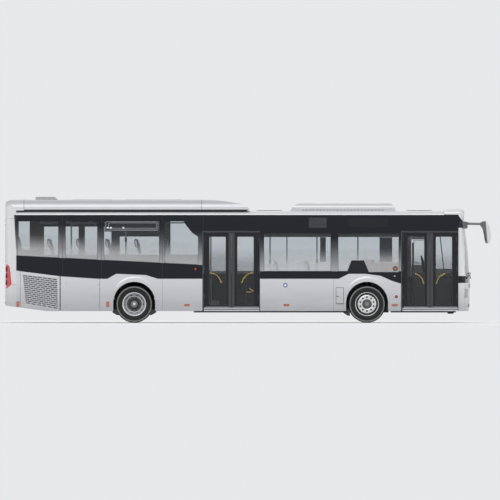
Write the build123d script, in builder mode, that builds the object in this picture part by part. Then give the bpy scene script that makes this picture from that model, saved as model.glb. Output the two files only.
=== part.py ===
"""A 12 m low-entry city bus with two double-leaf doors on its right side.

+X points to the front, +Y to the driver's side, +Z up. The ground is Z = 0, and the origin is
under the middle of the overall length, mirrors included. Sizes are in millimetres.
A station is a distance forward of the rear face; at(station) is its X.
"""
from build123d import *
from math import cos, radians, sin
import os

os.makedirs("parts", exist_ok=True)

# --- overall sizes -----------------------------------------------------------------------
body_length = 11930
body_width = 2550
mirror_reach = 520            # mirrors stand this far in front of the front face
rear_overhang = 3320
front_overhang = 2650
wall = 55                     # thickness of side walls, end masks and skirts
flare_proud = 12              # wheel-arch flares stand this far out of the walls
roof_thick = 45
gap = 8                       # gap round doors and flaps
joint_gap = 4                 # gap between fixed panels

# --- heights -----------------------------------------------------------------------------
skirt_z = 300                 # lower edge of the skirts
tail_z = 445                  # lower edge of the rear end
belt_z = 1130                 # where the skirts meet the window band
sill_z = 1320                 # lower edge of the low windows
low_window_top = 2290
door_top_z = 2315
rail_z = 2762                 # where the window band meets the roof's edge rail
high_window_top = rail_z - 157
rail_top_z = rail_z + 74
crown_z = rail_top_z + 39     # top of the roof on the centre line
fairing_z = crown_z + 25      # lower edge of the rear roof fairing
fairing_high = 256
fairing_top_z = fairing_z + fairing_high
pod_high = 187
pod_top_z = crown_z + pod_high
low_floor_z = 380
high_floor_z = 950
floor_thick = 50

# --- stations forward of the rear face ----------------------------------------------------
rear_mask_s = 300             # rear end mask meets the side walls
mask_cap_s = 497              # rear end cap meets the roof fairing
front_mask_s = body_length - 308           # front end mask meets the side walls
cap_s = body_length - 680     # above the edge rail the front cap runs back to here
grille_door_s = (400, 1420)
service_door_s = (1426, 2440)
mid_door_s = (5095, 6528)
front_door_s = (front_mask_s - 1442, front_mask_s - 16)
front_axle_s = body_length - front_overhang
step_s = mid_door_s[0] - 195  # the raised rear floor ends here
fairing_front_s = mid_door_s[0] + 1185
pod_length = 2710
pod_s = (fairing_front_s + 1030, fairing_front_s + 1030 + pod_length)

# --- running gear --------------------------------------------------------------------------
tyre_radius = 478
tyre_width = 276
rim_seat_radius = 286         # the tyre sits on the rim at this radius
barrel_radius = 262           # inside of the rim's barrel
twin_pitch = 311
steer_arm = 170
arch_radius = 540
arch_raise = 35               # the arch's centre stands this far above the axle
flare_wide, flare_raise = 50, 45           # the flare's crescent is wider at its top
box_half = 575                # half length of a wheel box
box_top_z = 1100
box_skin = 25
axle_z = tyre_radius

half_width = body_width / 2
wheel_face_y = half_width - 60             # outer faces of the outer tyres
kingpin_y = half_width - 290
box_inner_y = half_width - 805             # inner wall of the front wheel boxes
rear_box_inner_y = half_width - 715
wall_y = half_width - flare_proud          # outer face of walls and skirts
inner_y = wall_y - wall                    # inner face of the walls
x_rear = -(body_length + mirror_reach) / 2
x_front = x_rear + body_length
x_rear_axle = x_rear + rear_overhang
x_front_axle = x_rear + front_axle_s
wheel_y = wheel_face_y - tyre_width / 2    # middle plane of an outer tyre
steps = 3


def at(station):
    """X of a station."""
    return x_rear + station


def save(name, shape):
    """Labels a finished piece and writes it."""
    shape.label = name
    export_step(shape, f"parts/{name}.step")


def side_plane(side, y):
    """A plane across Y at distance y on a side (+1 left, -1 right), whose sketch is X by Z."""
    return Plane.XZ.offset(-side * y)


def outline(points, mode=Mode.ADD):
    """A closed face from (x, z) points in the current sketch."""
    with BuildLine() as line:
        Polyline(*points, close=True)
    make_face(line.edges(), mode=mode)


def rect(x0, x1, z0, z1, mode=Mode.ADD, round_by=0):
    """A rectangle between two corners in the current sketch."""
    with Locations(((x0 + x1) / 2, (z0 + z1) / 2)):
        if round_by:
            RectangleRounded(x1 - x0, z1 - z0, round_by, mode=mode)
        else:
            Rectangle(x1 - x0, z1 - z0, mode=mode)


def block(x0, x1, y0, y1, z0, z1, mode=Mode.ADD):
    """A box between two corners in the current part."""
    with Locations(((x0 + x1) / 2, (y0 + y1) / 2, (z0 + z1) / 2)):
        Box(x1 - x0, y1 - y0, z1 - z0, mode=mode)


# --- side walls ------------------------------------------------------------------------------
# belt: (station, height) where the black window band meets the silver skirts, rear to front
arch_shoulder = 127           # the belt climbs this much over each wheel arch
belt = [
    (rear_mask_s, belt_z + 210), (service_door_s[0], belt_z + 68), (service_door_s[1], belt_z),
    (rear_overhang - 690, belt_z), (rear_overhang - 460, belt_z + arch_shoulder),
    (rear_overhang + 300, belt_z + 95), (rear_overhang + 607, belt_z),
    (front_axle_s - 725, belt_z), (front_axle_s - 470, belt_z + arch_shoulder),
    (front_axle_s - 40, belt_z + arch_shoulder), (front_axle_s + 350, belt_z + 76),
    (front_axle_s + 612, belt_z - 42), (front_axle_s + 850, belt_z - 121),
    (front_mask_s, belt_z - 121),
]
# windows: (first station, last station, high, sloping sill)
rear_windows = [(330, 1380), (1560, 2378), (2545, 3978), (4095, mid_door_s[0] - 135)]
left_windows = [(330, 625, high_window_top), (983, 1880, rail_z - 292), (2033, 2724, rail_z - 292),
                (2929, 3950, low_window_top - 75), (4234, mid_door_s[0] - 95, high_window_top)]
left_sill_z = 1543
front_windows = [(mid_door_s[1] + 112, front_axle_s - 920), (front_axle_s - 740, front_door_s[0] - 70)]
slope_sill = (1720, 1480)     # window sill height at the rear mask and at the middle door
window_step_s = 4590          # a high window that runs forward of this has its upper corner cut
frit = 40                     # black border of a pane that laps its opening


def sloping_sill(station):
    """Sill height of the rear windows at a station."""
    share = (station - rear_mask_s) / (mid_door_s[0] - rear_mask_s)
    return slope_sill[0] + share * (slope_sill[1] - slope_sill[0])


def rear_window(s0, s1, grow=0):
    """Corner points of one high rear window; the front one has its upper corner cut off."""
    s0, s1 = s0 - grow, s1 + grow
    top = high_window_top + grow
    points = [(at(s0), sloping_sill(s0) - grow), (at(s1), sloping_sill(s1) - grow)]
    if s1 > window_step_s:
        points += [(at(s1), top - 400), (at(s1 - 150), top - 300), (at(s1 - 300), top - 115),
                   (at(s1 - 370), top)]
    else:
        points += [(at(s1), top)]
    return points + [(at(s0), top)]


def side_windows(side):
    """Opening tables of a side: lists of point lists."""
    found = []
    low = list(front_windows)
    if side > 0:
        low = [(mid_door_s[0] + 60, mid_door_s[1] - 60)] + low
        for s0, s1, top in left_windows:
            found.append([(at(s0), left_sill_z), (at(s1), left_sill_z), (at(s1), top), (at(s0), top)])
    else:
        found = [rear_window(*w) for w in rear_windows]
    for s0, s1 in low:
        found.append([(at(s0), sill_z), (at(s1), sill_z), (at(s1), low_window_top),
                      (at(s0), low_window_top)])
    if side > 0:
        s0, s1 = front_door_s[0] + 90, front_door_s[1] - 60
        found.append([(at(s0), belt_z + 60), (at(s1), belt_z + 60), (at(s1), low_window_top),
                      (at(s0), low_window_top)])
    return found


def belt_outline(low):
    """Face points between the belt line and a height below or above it."""
    return [(at(s), z) for s, z in belt] + [(at(front_mask_s), low), (at(rear_mask_s), low)]


def doorways():
    """The two door openings of the right side."""
    return [mid_door_s, front_door_s]


def window_wall(side, name):
    with BuildPart() as piece:
        with BuildSketch(side_plane(side, wall_y)):
            outline(belt_outline(rail_z))
            for points in side_windows(side):
                outline(points, Mode.SUBTRACT)
            if side < 0:
                for s0, s1 in doorways():
                    rect(at(s0), at(s1), 0, door_top_z, Mode.SUBTRACT)
        extrude(amount=side * wall)
    save(name, piece.part)


def panes(side, name):
    """Flush glass panes set in the wall's openings with a small seal gap."""
    seal, glass = 4, 12
    with BuildPart() as piece:
        with BuildSketch(side_plane(side, wall_y - 6)):
            for points in side_windows(side):
                outline(points)
            offset(amount=-seal, kind=Kind.INTERSECTION)
        extrude(amount=side * glass)
    save(name, piece.part)


def arch_cut(x_axle, radius, mode=Mode.SUBTRACT):
    """A wheel arch: a half round on straight legs down past the skirt."""
    centre = axle_z + arch_raise
    with Locations((x_axle, centre)):
        Circle(radius, mode=mode)
    rect(x_axle - radius, x_axle + radius, 0, centre, mode)


panel_lines = [4042, front_axle_s - 860]   # gaps between fixed skirt panels
# station from, to, height from, to
filler_flap = (front_axle_s - 790, front_axle_s - 605, 500, 895)


def tail_slope():
    """The skirt's lower edge climbs towards the rear."""
    return [(at(rear_mask_s) - 1, 0), (at(1085), 0), (at(1085), skirt_z),
            (at(rear_mask_s) - 1, skirt_z + (tail_z - skirt_z) * 0.72)]


def skirts(side, name):
    with BuildPart() as piece:
        with BuildSketch(side_plane(side, wall_y)):
            outline([(x, z - joint_gap if z > skirt_z else z) for x, z in belt_outline(skirt_z)])
            for x_axle in (x_rear_axle, x_front_axle):
                arch_cut(x_axle, arch_radius)
            outline(tail_slope(), Mode.SUBTRACT)
            for s in panel_lines:
                rect(at(s), at(s) + joint_gap, 0, rail_z, Mode.SUBTRACT)
            if side < 0:
                for s0, s1 in doorways():
                    rect(at(s0), at(s1), 0, rail_z, Mode.SUBTRACT)
                rect(at(grille_door_s[0]), at(service_door_s[1]), 0, rail_z, Mode.SUBTRACT)
                s0, s1, z0, z1 = filler_flap
                rect(at(s0) - gap, at(s1) + gap, z0 - gap, z1 + gap, Mode.SUBTRACT)
        extrude(amount=side * wall)
        for x_axle in (x_rear_axle, x_front_axle):
            with BuildSketch(side_plane(side, wall_y)):
                centre = axle_z + arch_raise + flare_raise
                with Locations((x_axle, centre)):
                    Circle(arch_radius + flare_wide)
                rect(x_axle - arch_radius - flare_wide, x_axle + arch_radius + flare_wide,
                     skirt_z, centre)
                arch_cut(x_axle, arch_radius)
                rect(x_axle - 2 * arch_radius, x_axle + 2 * arch_radius, -2 * arch_radius,
                     skirt_z, Mode.SUBTRACT)
            extrude(amount=-side * flare_proud, taper=25)
    save(name, piece.part)


# --- side flaps: (name, station from, to, hinge station side) ---------------------------------
def belt_height(station):
    """Height of the belt line at a station."""
    for (s0, z0), (s1, z1) in zip(belt, belt[1:]):
        if s0 <= station <= s1:
            return z0 + (z1 - z0) * (station - s0) / (s1 - s0)


def flap(name, stations, vents=False):
    """A side flap below the belt line on the right side."""
    s0, s1 = stations[0] + gap, stations[1] - gap
    slope = (tail_z - skirt_z) * 0.72 / (1085 - rear_mask_s)
    low0 = skirt_z + max(0, (1085 - s0) * slope)
    with BuildPart() as piece:
        with BuildSketch(side_plane(-1, wall_y)):
            points = [(at(s0), low0)]
            if s0 < 1085:
                points += [(at(1085), skirt_z)]
            points += [(at(s1), skirt_z), (at(s1), belt_height(s1) - gap),
                       (at(s0), belt_height(s0) - gap)]
            outline(points)
        extrude(amount=-wall)
        if vents:
            # louvre slots in slanting rows
            with BuildSketch(side_plane(-1, wall_y)):
                for row in range(vent_rows):
                    share = (row + 0.5) / vent_rows
                    z = low0 + 75 + share * (belt_height(s0) - low0 - 150)
                    lean = 70 * share
                    with Locations((at((s0 + s1) / 2) + 30 - lean / 2, z - 25)):
                        Rectangle(s1 - s0 - 190 - 0.4 * lean, 16, rotation=-4.5)
            extrude(amount=-(wall - 20), mode=Mode.SUBTRACT)
    save(name, piece.part)


vent_rows = 16
window_wall(-1, "right_window_wall")
window_wall(1, "left_window_wall")
panes(-1, "right_windows")
panes(1, "left_windows")
skirts(-1, "right_skirts")
skirts(1, "left_skirts")
flap("grille_door", grille_door_s, vents=True)
flap("service_door", service_door_s)

s0, s1, z0, z1 = filler_flap
with BuildPart() as filler:
    with BuildSketch(side_plane(-1, wall_y)):
        rect(at(s0), at(s1), z0, z1)
    extrude(amount=-20)
save("filler_flap", filler.part)


# --- roof -------------------------------------------------------------------------------------
def roof_section(drop, inset):
    """Half arch of the roof's outer or inner face in a Y by Z sketch, closed along rail_z."""
    top, side = crown_z - drop, wall_y - inset
    shoulder = rail_top_z + 12 - drop
    with BuildLine() as line:
        Line((-side, rail_z), (side, rail_z))
        ThreePointArc((side, rail_z), (side - 32, rail_top_z - 22 - drop), (side - 120, shoulder))
        ThreePointArc((side - 120, shoulder), (0, top), (120 - side, shoulder))
        ThreePointArc((120 - side, shoulder), (32 - side, rail_top_z - 22 - drop), (-side, rail_z))
    make_face(line.edges())


with BuildPart() as roof:
    with BuildSketch(Plane.YZ.offset(at(rear_mask_s))):
        roof_section(0, 0)
    extrude(amount=cap_s - rear_mask_s)
    with BuildSketch(Plane.YZ.offset(at(rear_mask_s))):
        roof_section(roof_thick, wall)
    extrude(amount=cap_s - rear_mask_s, mode=Mode.SUBTRACT)
save("roof", roof.part)


# --- end masks ----------------------------------------------------------------------------------
rear_corner = 210
mask_lap = 900                # how far the masks' solid forms run before they are cut
corner_deep = 175             # the front's rounded corners reach this far in from the sides
nose_z = 1090                 # the front face stands furthest forward here
cap_top_z = crown_z + 53
brow_back = 136               # the brow over the windscreen is this far behind the nose
# front plan: height, how far the nose is set back there, and the bow of the face
front_levels = [(skirt_z - 20, 30, 100), (nose_z, 0, 120), (nose_z + 780, 54, 90),
                (nose_z + 1310, 122, 55), (nose_z + 1510, 160, 45),
                (cap_top_z + 20, brow_back - 2, 40)]
corner_x = at(front_mask_s) + 14           # the rounded corners start here at every height


def front_plan(inset, setback, bow):
    """Plan outline of the front end, in X by Y."""
    side, nose = wall_y - inset, x_front - setback - inset
    back, start = x_front - mask_lap, corner_x - 0.4 * inset
    end_x, end_y = nose - bow, side - corner_deep
    mid = (start + 0.71 * (end_x - start), side - 0.3 * corner_deep)
    with BuildLine() as line:
        Polyline((start, side), (back, side), (back, -side), (start, -side))
        ThreePointArc((start, -side), (mid[0], -mid[1]), (end_x, -end_y))
        ThreePointArc((end_x, -end_y), (nose, 0), (end_x, end_y))
        ThreePointArc((end_x, end_y), mid, (start, side))
    make_face(line.edges())


def front_solid(inset):
    """Outer or inner form of the front end: it leans back above the nose line and in below it."""
    with BuildPart() as form:
        for level, setback, bow in front_levels:
            with BuildSketch(Plane.XY.offset(level)):
                front_plan(inset, setback, bow)
        loft(ruled=True)
        # brow: the roof line rounds over into the front face
        with BuildSketch(Plane.XZ.offset(-body_width)):
            top, brow = cap_top_z - inset, x_front - brow_back - inset
            rise_x, fall_x = at(cap_s) + 310, brow - 70
            with BuildLine():
                Polyline((x_front + 10, 0), (x_front - mask_lap, 0), (x_front - mask_lap, crown_z - inset),
                         (at(cap_s) + 1, crown_z - inset))
                ThreePointArc((at(cap_s) + 1, crown_z - inset), (at(cap_s) + 170, top - 14),
                              (rise_x, top))
                ThreePointArc((rise_x, top), ((rise_x + fall_x) / 2 + 20, top - 8), (fall_x, top - 34))
                ThreePointArc((fall_x, top - 34), (brow - 18, top - 52), (brow + 5, top - 100))
                Polyline((brow + 5, top - 100), (x_front + 10, top - 140), (x_front + 10, 0))
            make_face()
        extrude(amount=2 * body_width, mode=Mode.INTERSECT)
    return form.part


windscreen_z = (1210, 2440)
windscreen_half = half_width - 145
sign_z = (2470, 2730)
seal = 4


def windscreen_prism(shrink, depth=600):
    """The opening's outline seen from the front, run back through the front mask."""
    low, high = windscreen_z[0] + shrink, windscreen_z[1] - shrink
    half = windscreen_half - shrink
    with BuildPart() as prism:
        with BuildSketch(Plane.YZ.offset(x_front + 50)):
            rect(-half, half, low, high, round_by=120 - shrink)
        extrude(amount=-depth)
    return prism.part


def front_region():
    """The space of the front mask: a cap over the roof's end and the part in front of the door."""
    with BuildPart() as region:
        block(at(front_mask_s), x_front + 100, -body_width, body_width, skirt_z, crown_z + 60)
        block(at(cap_s) + joint_gap, x_front, -body_width, body_width, rail_z + joint_gap,
              crown_z + 60)
    return region.part


def roof_prism(drop, inset, foot):
    """The roof's cross-section run along the whole bus, filled down to a height."""
    with BuildPart() as prism:
        with BuildSketch(Plane.YZ.offset(x_rear)):
            roof_section(drop, inset)
            rect(-wall_y + inset, wall_y - inset, foot, rail_z + 1)
        extrude(amount=body_length + 10)
    return prism.part


front_outer = front_solid(0) & front_region() & roof_prism(crown_z - cap_top_z, 0, skirt_z)
front_inner = front_solid(wall) & roof_prism(roof_thick, wall, 0)
lamp_half, lamp_z = (half_width - 635, half_width - 95), (640, 860)

with BuildPart() as front_mask:
    add(front_outer)
    add(front_inner, mode=Mode.SUBTRACT)
    add(windscreen_prism(0), mode=Mode.SUBTRACT)
    # pockets for the headlamps
    with BuildSketch(Plane.YZ.offset(x_front + 50)):
        for side in (-1, 1):
            rect(min(side * lamp_half[0], side * lamp_half[1]),
                 max(side * lamp_half[0], side * lamp_half[1]), *lamp_z)
    extrude(amount=-460, mode=Mode.SUBTRACT)
save("front_mask", front_mask.part)

with BuildPart() as windscreen:
    add(front_solid(8))
    add(front_solid(22), mode=Mode.SUBTRACT)
    add(windscreen_prism(seal), mode=Mode.INTERSECT)
save("windscreen", windscreen.part)

with BuildPart() as headlamps:
    add(front_solid(2))
    add(front_solid(wall - 5), mode=Mode.SUBTRACT)
    with BuildSketch(Plane.YZ.offset(x_front + 50)):
        for side in (-1, 1):
            rect(min(side * lamp_half[0], side * lamp_half[1]) + 3,
                 max(side * lamp_half[0], side * lamp_half[1]) - 3, lamp_z[0] + 3, lamp_z[1] - 3)
    extrude(amount=-450, mode=Mode.INTERSECT)
save("headlamps", headlamps.part)


def rear_plan(inset):
    """Plan outline of the rear end, in X by Y."""
    side, tail = wall_y - inset, x_rear + inset
    with BuildLine() as line:
        Polyline((tail + 30 + rear_corner, -side), (x_rear + mask_lap, -side),
                 (x_rear + mask_lap, side), (tail + 30 + rear_corner, side))
        ThreePointArc((tail + 30 + rear_corner, side),
                      (tail + 30 + rear_corner * 0.29, side - rear_corner * 0.29),
                      (tail + 30, side - rear_corner))
        ThreePointArc((tail + 30, side - rear_corner), (tail, 0), (tail + 30, -side + rear_corner))
        ThreePointArc((tail + 30, -side + rear_corner),
                      (tail + 30 + rear_corner * 0.29, -side + rear_corner * 0.29),
                      (tail + 30 + rear_corner, -side))
    make_face(line.edges())


def fairing_section(inset):
    """The rear roof fairing's outline in Y by Z, closed at the ground."""
    side, top, edge = wall_y - inset, fairing_top_z - inset, 190
    with BuildLine() as line:
        Polyline((side, 0), (side, top - edge))
        ThreePointArc((side, top - edge), (side - 62, top - 72), (side - 210, top - 12))
        ThreePointArc((side - 210, top - 12), (0, top), (210 - side, top - 12))
        ThreePointArc((210 - side, top - 12), (62 - side, top - 72), (-side, top - edge))
        Polyline((-side, top - edge), (-side, 0), (side, 0))
    make_face(line.edges())


def rear_solid(inset):
    """Outer or inner form of the rear end, rounded over its top edge."""
    round_over = 200 - inset
    top, tail = fairing_top_z - inset, x_rear + inset
    with BuildPart() as form:
        with BuildSketch(Plane.XY):
            rear_plan(inset)
        extrude(amount=fairing_top_z)
        with BuildSketch(Plane.XZ.offset(-body_width)):
            with BuildLine():
                Polyline((tail + round_over, top), (x_rear + mask_lap, top),
                         (x_rear + mask_lap, skirt_z), (tail, tail_z), (tail, top - round_over))
                ThreePointArc((tail, top - round_over),
                              (tail + round_over * 0.29, top - round_over * 0.29),
                              (tail + round_over, top))
            make_face()
        extrude(amount=2 * body_width, mode=Mode.INTERSECT)
        with BuildSketch(Plane.YZ.offset(x_rear - 10)):
            fairing_section(inset)
        extrude(amount=mask_lap + 20, mode=Mode.INTERSECT)
    return form.part


tail_lamp_inner = half_width - 275
# tail lamp seen from the side: (station, height)
lamp_side = [(-10, 1515), (38, 1508), (100, 1475), (130, 1436), (150, 1292), (179, 1000), (165, 965),
             (130, 939), (39, 861), (-10, 855)]


def lamp_prism(shrink):
    """The lamps' outline seen from the side, run across both rear corners."""
    with BuildPart() as prism:
        for side in (-1, 1):
            with BuildSketch(side_plane(side, tail_lamp_inner + shrink)) as shape:
                outline([(at(s), z) for s, z in lamp_side])
                if shrink:
                    offset(amount=-shrink, kind=Kind.INTERSECTION)
            extrude(shape.sketch, amount=-side * 300)
    return prism.part


engine_door_half, engine_door_z = half_width - 395, (560, 1330)
rear_glass_half, rear_glass_z = half_width - 415, (1560, 2520)

with BuildPart() as rear_mask:
    add(rear_solid(0))
    add(rear_solid(wall), mode=Mode.SUBTRACT)
    # the lower part ends at the side walls, the cap above them runs on to the fairing
    block(at(rear_mask_s), at(mask_lap) + 10, -body_width, body_width, 0, rail_top_z + 40,
          Mode.SUBTRACT)
    block(at(mask_cap_s), at(mask_lap) + 10, -body_width, body_width, 0, fairing_top_z + 10,
          Mode.SUBTRACT)
    with BuildSketch(Plane.YZ.offset(x_rear - 10)):
        rect(-engine_door_half, engine_door_half, *engine_door_z)
        rect(-rear_glass_half, rear_glass_half, *rear_glass_z, round_by=90)
    extrude(amount=rear_mask_s - 20, mode=Mode.SUBTRACT)
    add(lamp_prism(0), mode=Mode.SUBTRACT)
save("rear_mask", rear_mask.part)

with BuildPart() as engine_door:
    with BuildSketch(Plane.XY.offset(engine_door_z[0] + gap + 2)):
        rear_plan(0)
        door_half = engine_door_half - gap
        rect(x_rear - 10, x_rear + wall, -door_half, door_half, Mode.INTERSECT)
    extrude(amount=engine_door_z[1] - engine_door_z[0] - 2 * gap - 2)
save("engine_door", engine_door.part)

with BuildPart() as rear_window_glass:
    add(rear_solid(8))
    add(rear_solid(20), mode=Mode.SUBTRACT)
    with BuildSketch(Plane.YZ.offset(x_rear - 10)):
        rect(-rear_glass_half + seal, rear_glass_half - seal, rear_glass_z[0] + seal,
             rear_glass_z[1] - seal, round_by=86)
    extrude(amount=rear_mask_s - 20, mode=Mode.INTERSECT)
save("rear_window", rear_window_glass.part)

with BuildPart() as tail_lamps:
    add(rear_solid(0))
    add(rear_solid(wall - 10), mode=Mode.SUBTRACT)
    add(lamp_prism(3), mode=Mode.INTERSECT)
save("tail_lamps", tail_lamps.part)

# --- roof equipment ------------------------------------------------------------------------------
with BuildPart() as fairing:
    with BuildSketch(Plane.YZ.offset(at(mask_cap_s) + joint_gap)):
        fairing_section(0)
    extrude(amount=fairing_front_s - mask_cap_s)
    with BuildSketch(Plane.XZ.offset(-body_width)):
        with BuildLine():
            tip = at(fairing_front_s)
            Polyline((tip, fairing_z), (at(mask_cap_s) - 5, fairing_z),
                     (at(mask_cap_s) - 5, fairing_top_z), (tip - 1250, fairing_top_z))
            ThreePointArc((tip - 1250, fairing_top_z), (tip - 560, fairing_top_z - 55),
                          (tip - 190, fairing_top_z - 120))
            ThreePointArc((tip - 190, fairing_top_z - 120), (tip - 90, fairing_top_z - 170),
                          (tip, fairing_z))
        make_face()
    extrude(amount=2 * body_width, mode=Mode.INTERSECT)
    # two bearers under the fairing rest it on the roof
    bearer_low, bearer_y = crown_z - 45, half_width - 375
    for side in (-1, 1):
        block(at(mask_cap_s) + 200, at(fairing_front_s) - 500, side * bearer_y - 40, side * bearer_y + 40,
              bearer_low, fairing_z + 20)
    add(roof_prism(0, 0, skirt_z), mode=Mode.SUBTRACT)
save("roof_fairing", fairing.part)

with BuildPart() as pod:
    with BuildSketch(Plane.YZ.offset(at(pod_s[0]))):
        pod_half, pod_foot = half_width - 315, crown_z - 30
        with BuildLine():
            Polyline((-pod_half, pod_foot), (pod_half, pod_foot), (pod_half, pod_top_z - 110))
            ThreePointArc((pod_half, pod_top_z - 110), (pod_half - 40, pod_top_z - 34),
                          (pod_half - 130, pod_top_z - 8))
            ThreePointArc((pod_half - 130, pod_top_z - 8), (0, pod_top_z),
                          (130 - pod_half, pod_top_z - 8))
            ThreePointArc((130 - pod_half, pod_top_z - 8), (40 - pod_half, pod_top_z - 34),
                          (-pod_half, pod_top_z - 110))
            Line((-pod_half, pod_top_z - 110), (-pod_half, pod_foot))
        make_face()
    extrude(amount=pod_s[1] - pod_s[0])
    with BuildSketch(Plane.XZ.offset(-body_width)):
        with BuildLine():
            tail, tip = at(pod_s[0]), at(pod_s[1])
            Line((tail, pod_foot), (tip, pod_foot))
            ThreePointArc((tip, pod_foot), (tip - 60, pod_top_z - 60), (tip - 300, pod_top_z))
            Line((tip - 300, pod_top_z), (tail + 300, pod_top_z))
            ThreePointArc((tail + 300, pod_top_z), (tail + 110, pod_top_z - 60), (tail, pod_foot))
        make_face()
    extrude(amount=2 * body_width, mode=Mode.INTERSECT)
    add(roof_prism(0, 0, skirt_z), mode=Mode.SUBTRACT)
save("aircon_pod", pod.part)

vent_s = (785, 1370)          # vent cap on the rear fairing
vent_top_z = fairing_top_z + 72
with BuildPart() as vent:
    with BuildSketch(Plane.XZ.offset(-330)):
        outline([(at(vent_s[0]), fairing_top_z - 12), (at(vent_s[1]), fairing_top_z - 12),
                 (at(vent_s[1]) - 95, vent_top_z), (at(vent_s[0]) + 12, vent_top_z)])
    extrude(amount=660)
    with BuildSketch(Plane.YZ.offset(at(vent_s[0]) - 10)):
        fairing_section(0)
    extrude(amount=vent_s[1] - vent_s[0] + 20, mode=Mode.SUBTRACT)
save("roof_vent", vent.part)

# --- floor and underframe ---------------------------------------------------------------------------
floor_half = inner_y
front_box = (x_front_axle - box_half, x_front_axle + box_half)
rear_box = (x_rear_axle - box_half, x_rear_axle + box_half)
low_bottom, high_bottom = low_floor_z - floor_thick, high_floor_z - floor_thick
floor_front_x = at(front_mask_s) - 60

with BuildPart() as floor:
    block(at(step_s), floor_front_x, -floor_half, floor_half, low_bottom, low_floor_z)
    block(at(rear_mask_s), at(step_s), -floor_half, floor_half, high_bottom, high_floor_z)
    # riser wall under the raised floor's front edge, and steps down the gangway
    block(at(step_s), at(step_s) + 40, -floor_half, floor_half, low_bottom, high_floor_z)
    for n in range(1, steps):
        block(at(step_s), at(step_s) + 40 + n * 280, -330, 330, low_floor_z,
              low_floor_z + (steps - n) * (high_floor_z - low_floor_z) / steps)
    for side in (-1, 1):
        for (x0, x1), inner, top in ((front_box, box_inner_y, box_top_z),
                                     (rear_box, rear_box_inner_y, box_top_z)):
            bottom = low_bottom if inner == box_inner_y else high_bottom - 60
            lo, hi = sorted((side * (inner - box_skin), side * floor_half))
            block(x0 - box_skin, x1 + box_skin, lo, hi, bottom, top + box_skin)
    for side in (-1, 1):
        for (x0, x1), inner, top in ((front_box, box_inner_y, box_top_z),
                                     (rear_box, rear_box_inner_y, box_top_z)):
            lo, hi = sorted((side * inner, side * (floor_half + 5)))
            block(x0, x1, lo, hi, 0, top, Mode.SUBTRACT)
    # thresholds run out under the doors
    for s0, s1 in doorways():
        block(at(s0) + gap, at(s1) - gap, -wall_y, -floor_half, skirt_z, low_floor_z)
save("floor", floor.part)

# cabinets on the front wheel boxes: (side, foot and top forward of the axle, top height)
cabinets = [(-1, (-480, 50), (-410, -100), 1556), (1, (-40, 200), (-20, 190), 1600)]
with BuildPart() as cabinet_pair:
    for side, (s0, s1), (t0, t1), top in cabinets:
        with BuildSketch(side_plane(side, inner_y - 2)):
            foot_z = box_top_z + box_skin
            outline([(x_front_axle + s0, foot_z), (x_front_axle + s1, foot_z),
                     (x_front_axle + t1, top), (x_front_axle + t0, top)])
        extrude(amount=side * 560)
save("cabinets", cabinet_pair.part)

rail_y, rail_wide = half_width - 875, 70
cross_high = 66
rail_low = low_bottom - cross_high - 2
tow_pin_radius = 20.5
tow_depth = 35
high_cross = [420, 2300, 4500]
low_cross = [at(step_s) + 90, x_front_axle - 2380, x_front_axle - 1380, front_box[1] + 60,
             floor_front_x - 200]
tow_x = floor_front_x - 100
with BuildPart() as chassis_rails:
    for side in (-1, 1):
        y0, y1 = side * rail_y - rail_wide / 2, side * rail_y + rail_wide / 2
        block(at(step_s), front_box[0] - 40, y0, y1, rail_low, low_bottom)
        block(front_box[1] + 40, floor_front_x, y0, y1, rail_low, low_bottom)
        block(at(rear_mask_s), at(step_s), y0, y1, high_bottom - 110, high_bottom)
        # the rails drop behind the step from the raised floor to the low floor
        block(at(step_s) - 60, at(step_s), y0, y1, rail_low, high_bottom)
save("chassis_rails", chassis_rails.part)

# each cross member is one length between the rails and one outside each rail
inside, outside = rail_y - rail_wide / 2, rail_y + rail_wide / 2
with BuildPart() as cross_members:
    for x, reach, low, high in ([(at(s), floor_half - 50, high_bottom - 110, high_bottom)
                                 for s in high_cross]
                                + [(x, floor_half - 90, low_bottom - cross_high, low_bottom)
                                   for x in low_cross]):
        for y0, y1 in ((-reach, -outside), (-inside, inside), (outside, reach)):
            block(x, x + 70, y0, y1, low, high)
    add(floor.part, mode=Mode.SUBTRACT)
save("cross_members", cross_members.part)

# towing block under the front cross member, bored for the pin of a tow bar
with BuildPart() as tow_block:
    block(tow_x - 110, tow_x + 45, -70, 70, low_bottom - cross_high - tow_depth,
          low_bottom - cross_high)
    with BuildSketch(Plane.XY.offset(low_bottom - cross_high - tow_depth - 5)):
        with Locations((tow_x, 0)):
            Circle(tow_pin_radius)
    extrude(amount=tow_depth + 10, mode=Mode.SUBTRACT)
save("tow_block", tow_block.part)

engine_s, engine_half = (330, 1560), 430
with BuildPart() as engine:
    block(at(engine_s[0]), at(engine_s[1]), -engine_half, engine_half, 430, high_bottom - 110)
    with BuildSketch(Plane.YZ.offset(at(engine_s[1]))):
        with Locations((0, 600)):
            Circle(140)
    extrude(amount=700)
save("engine", engine.part)

# --- axles, knuckles and wheels ----------------------------------------------------------------------
pin_radius = 24
running_clearance = 0.05
spindle_radius = 45
eye_half = 60                 # half height of the beam's kingpin eye
fork_lug = 55
lug_gap = 3
rod_radius = 18
rod_low_z = 285
front_spindle_end, rear_spindle_end = wheel_face_y - 60, wheel_face_y - 175

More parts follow.
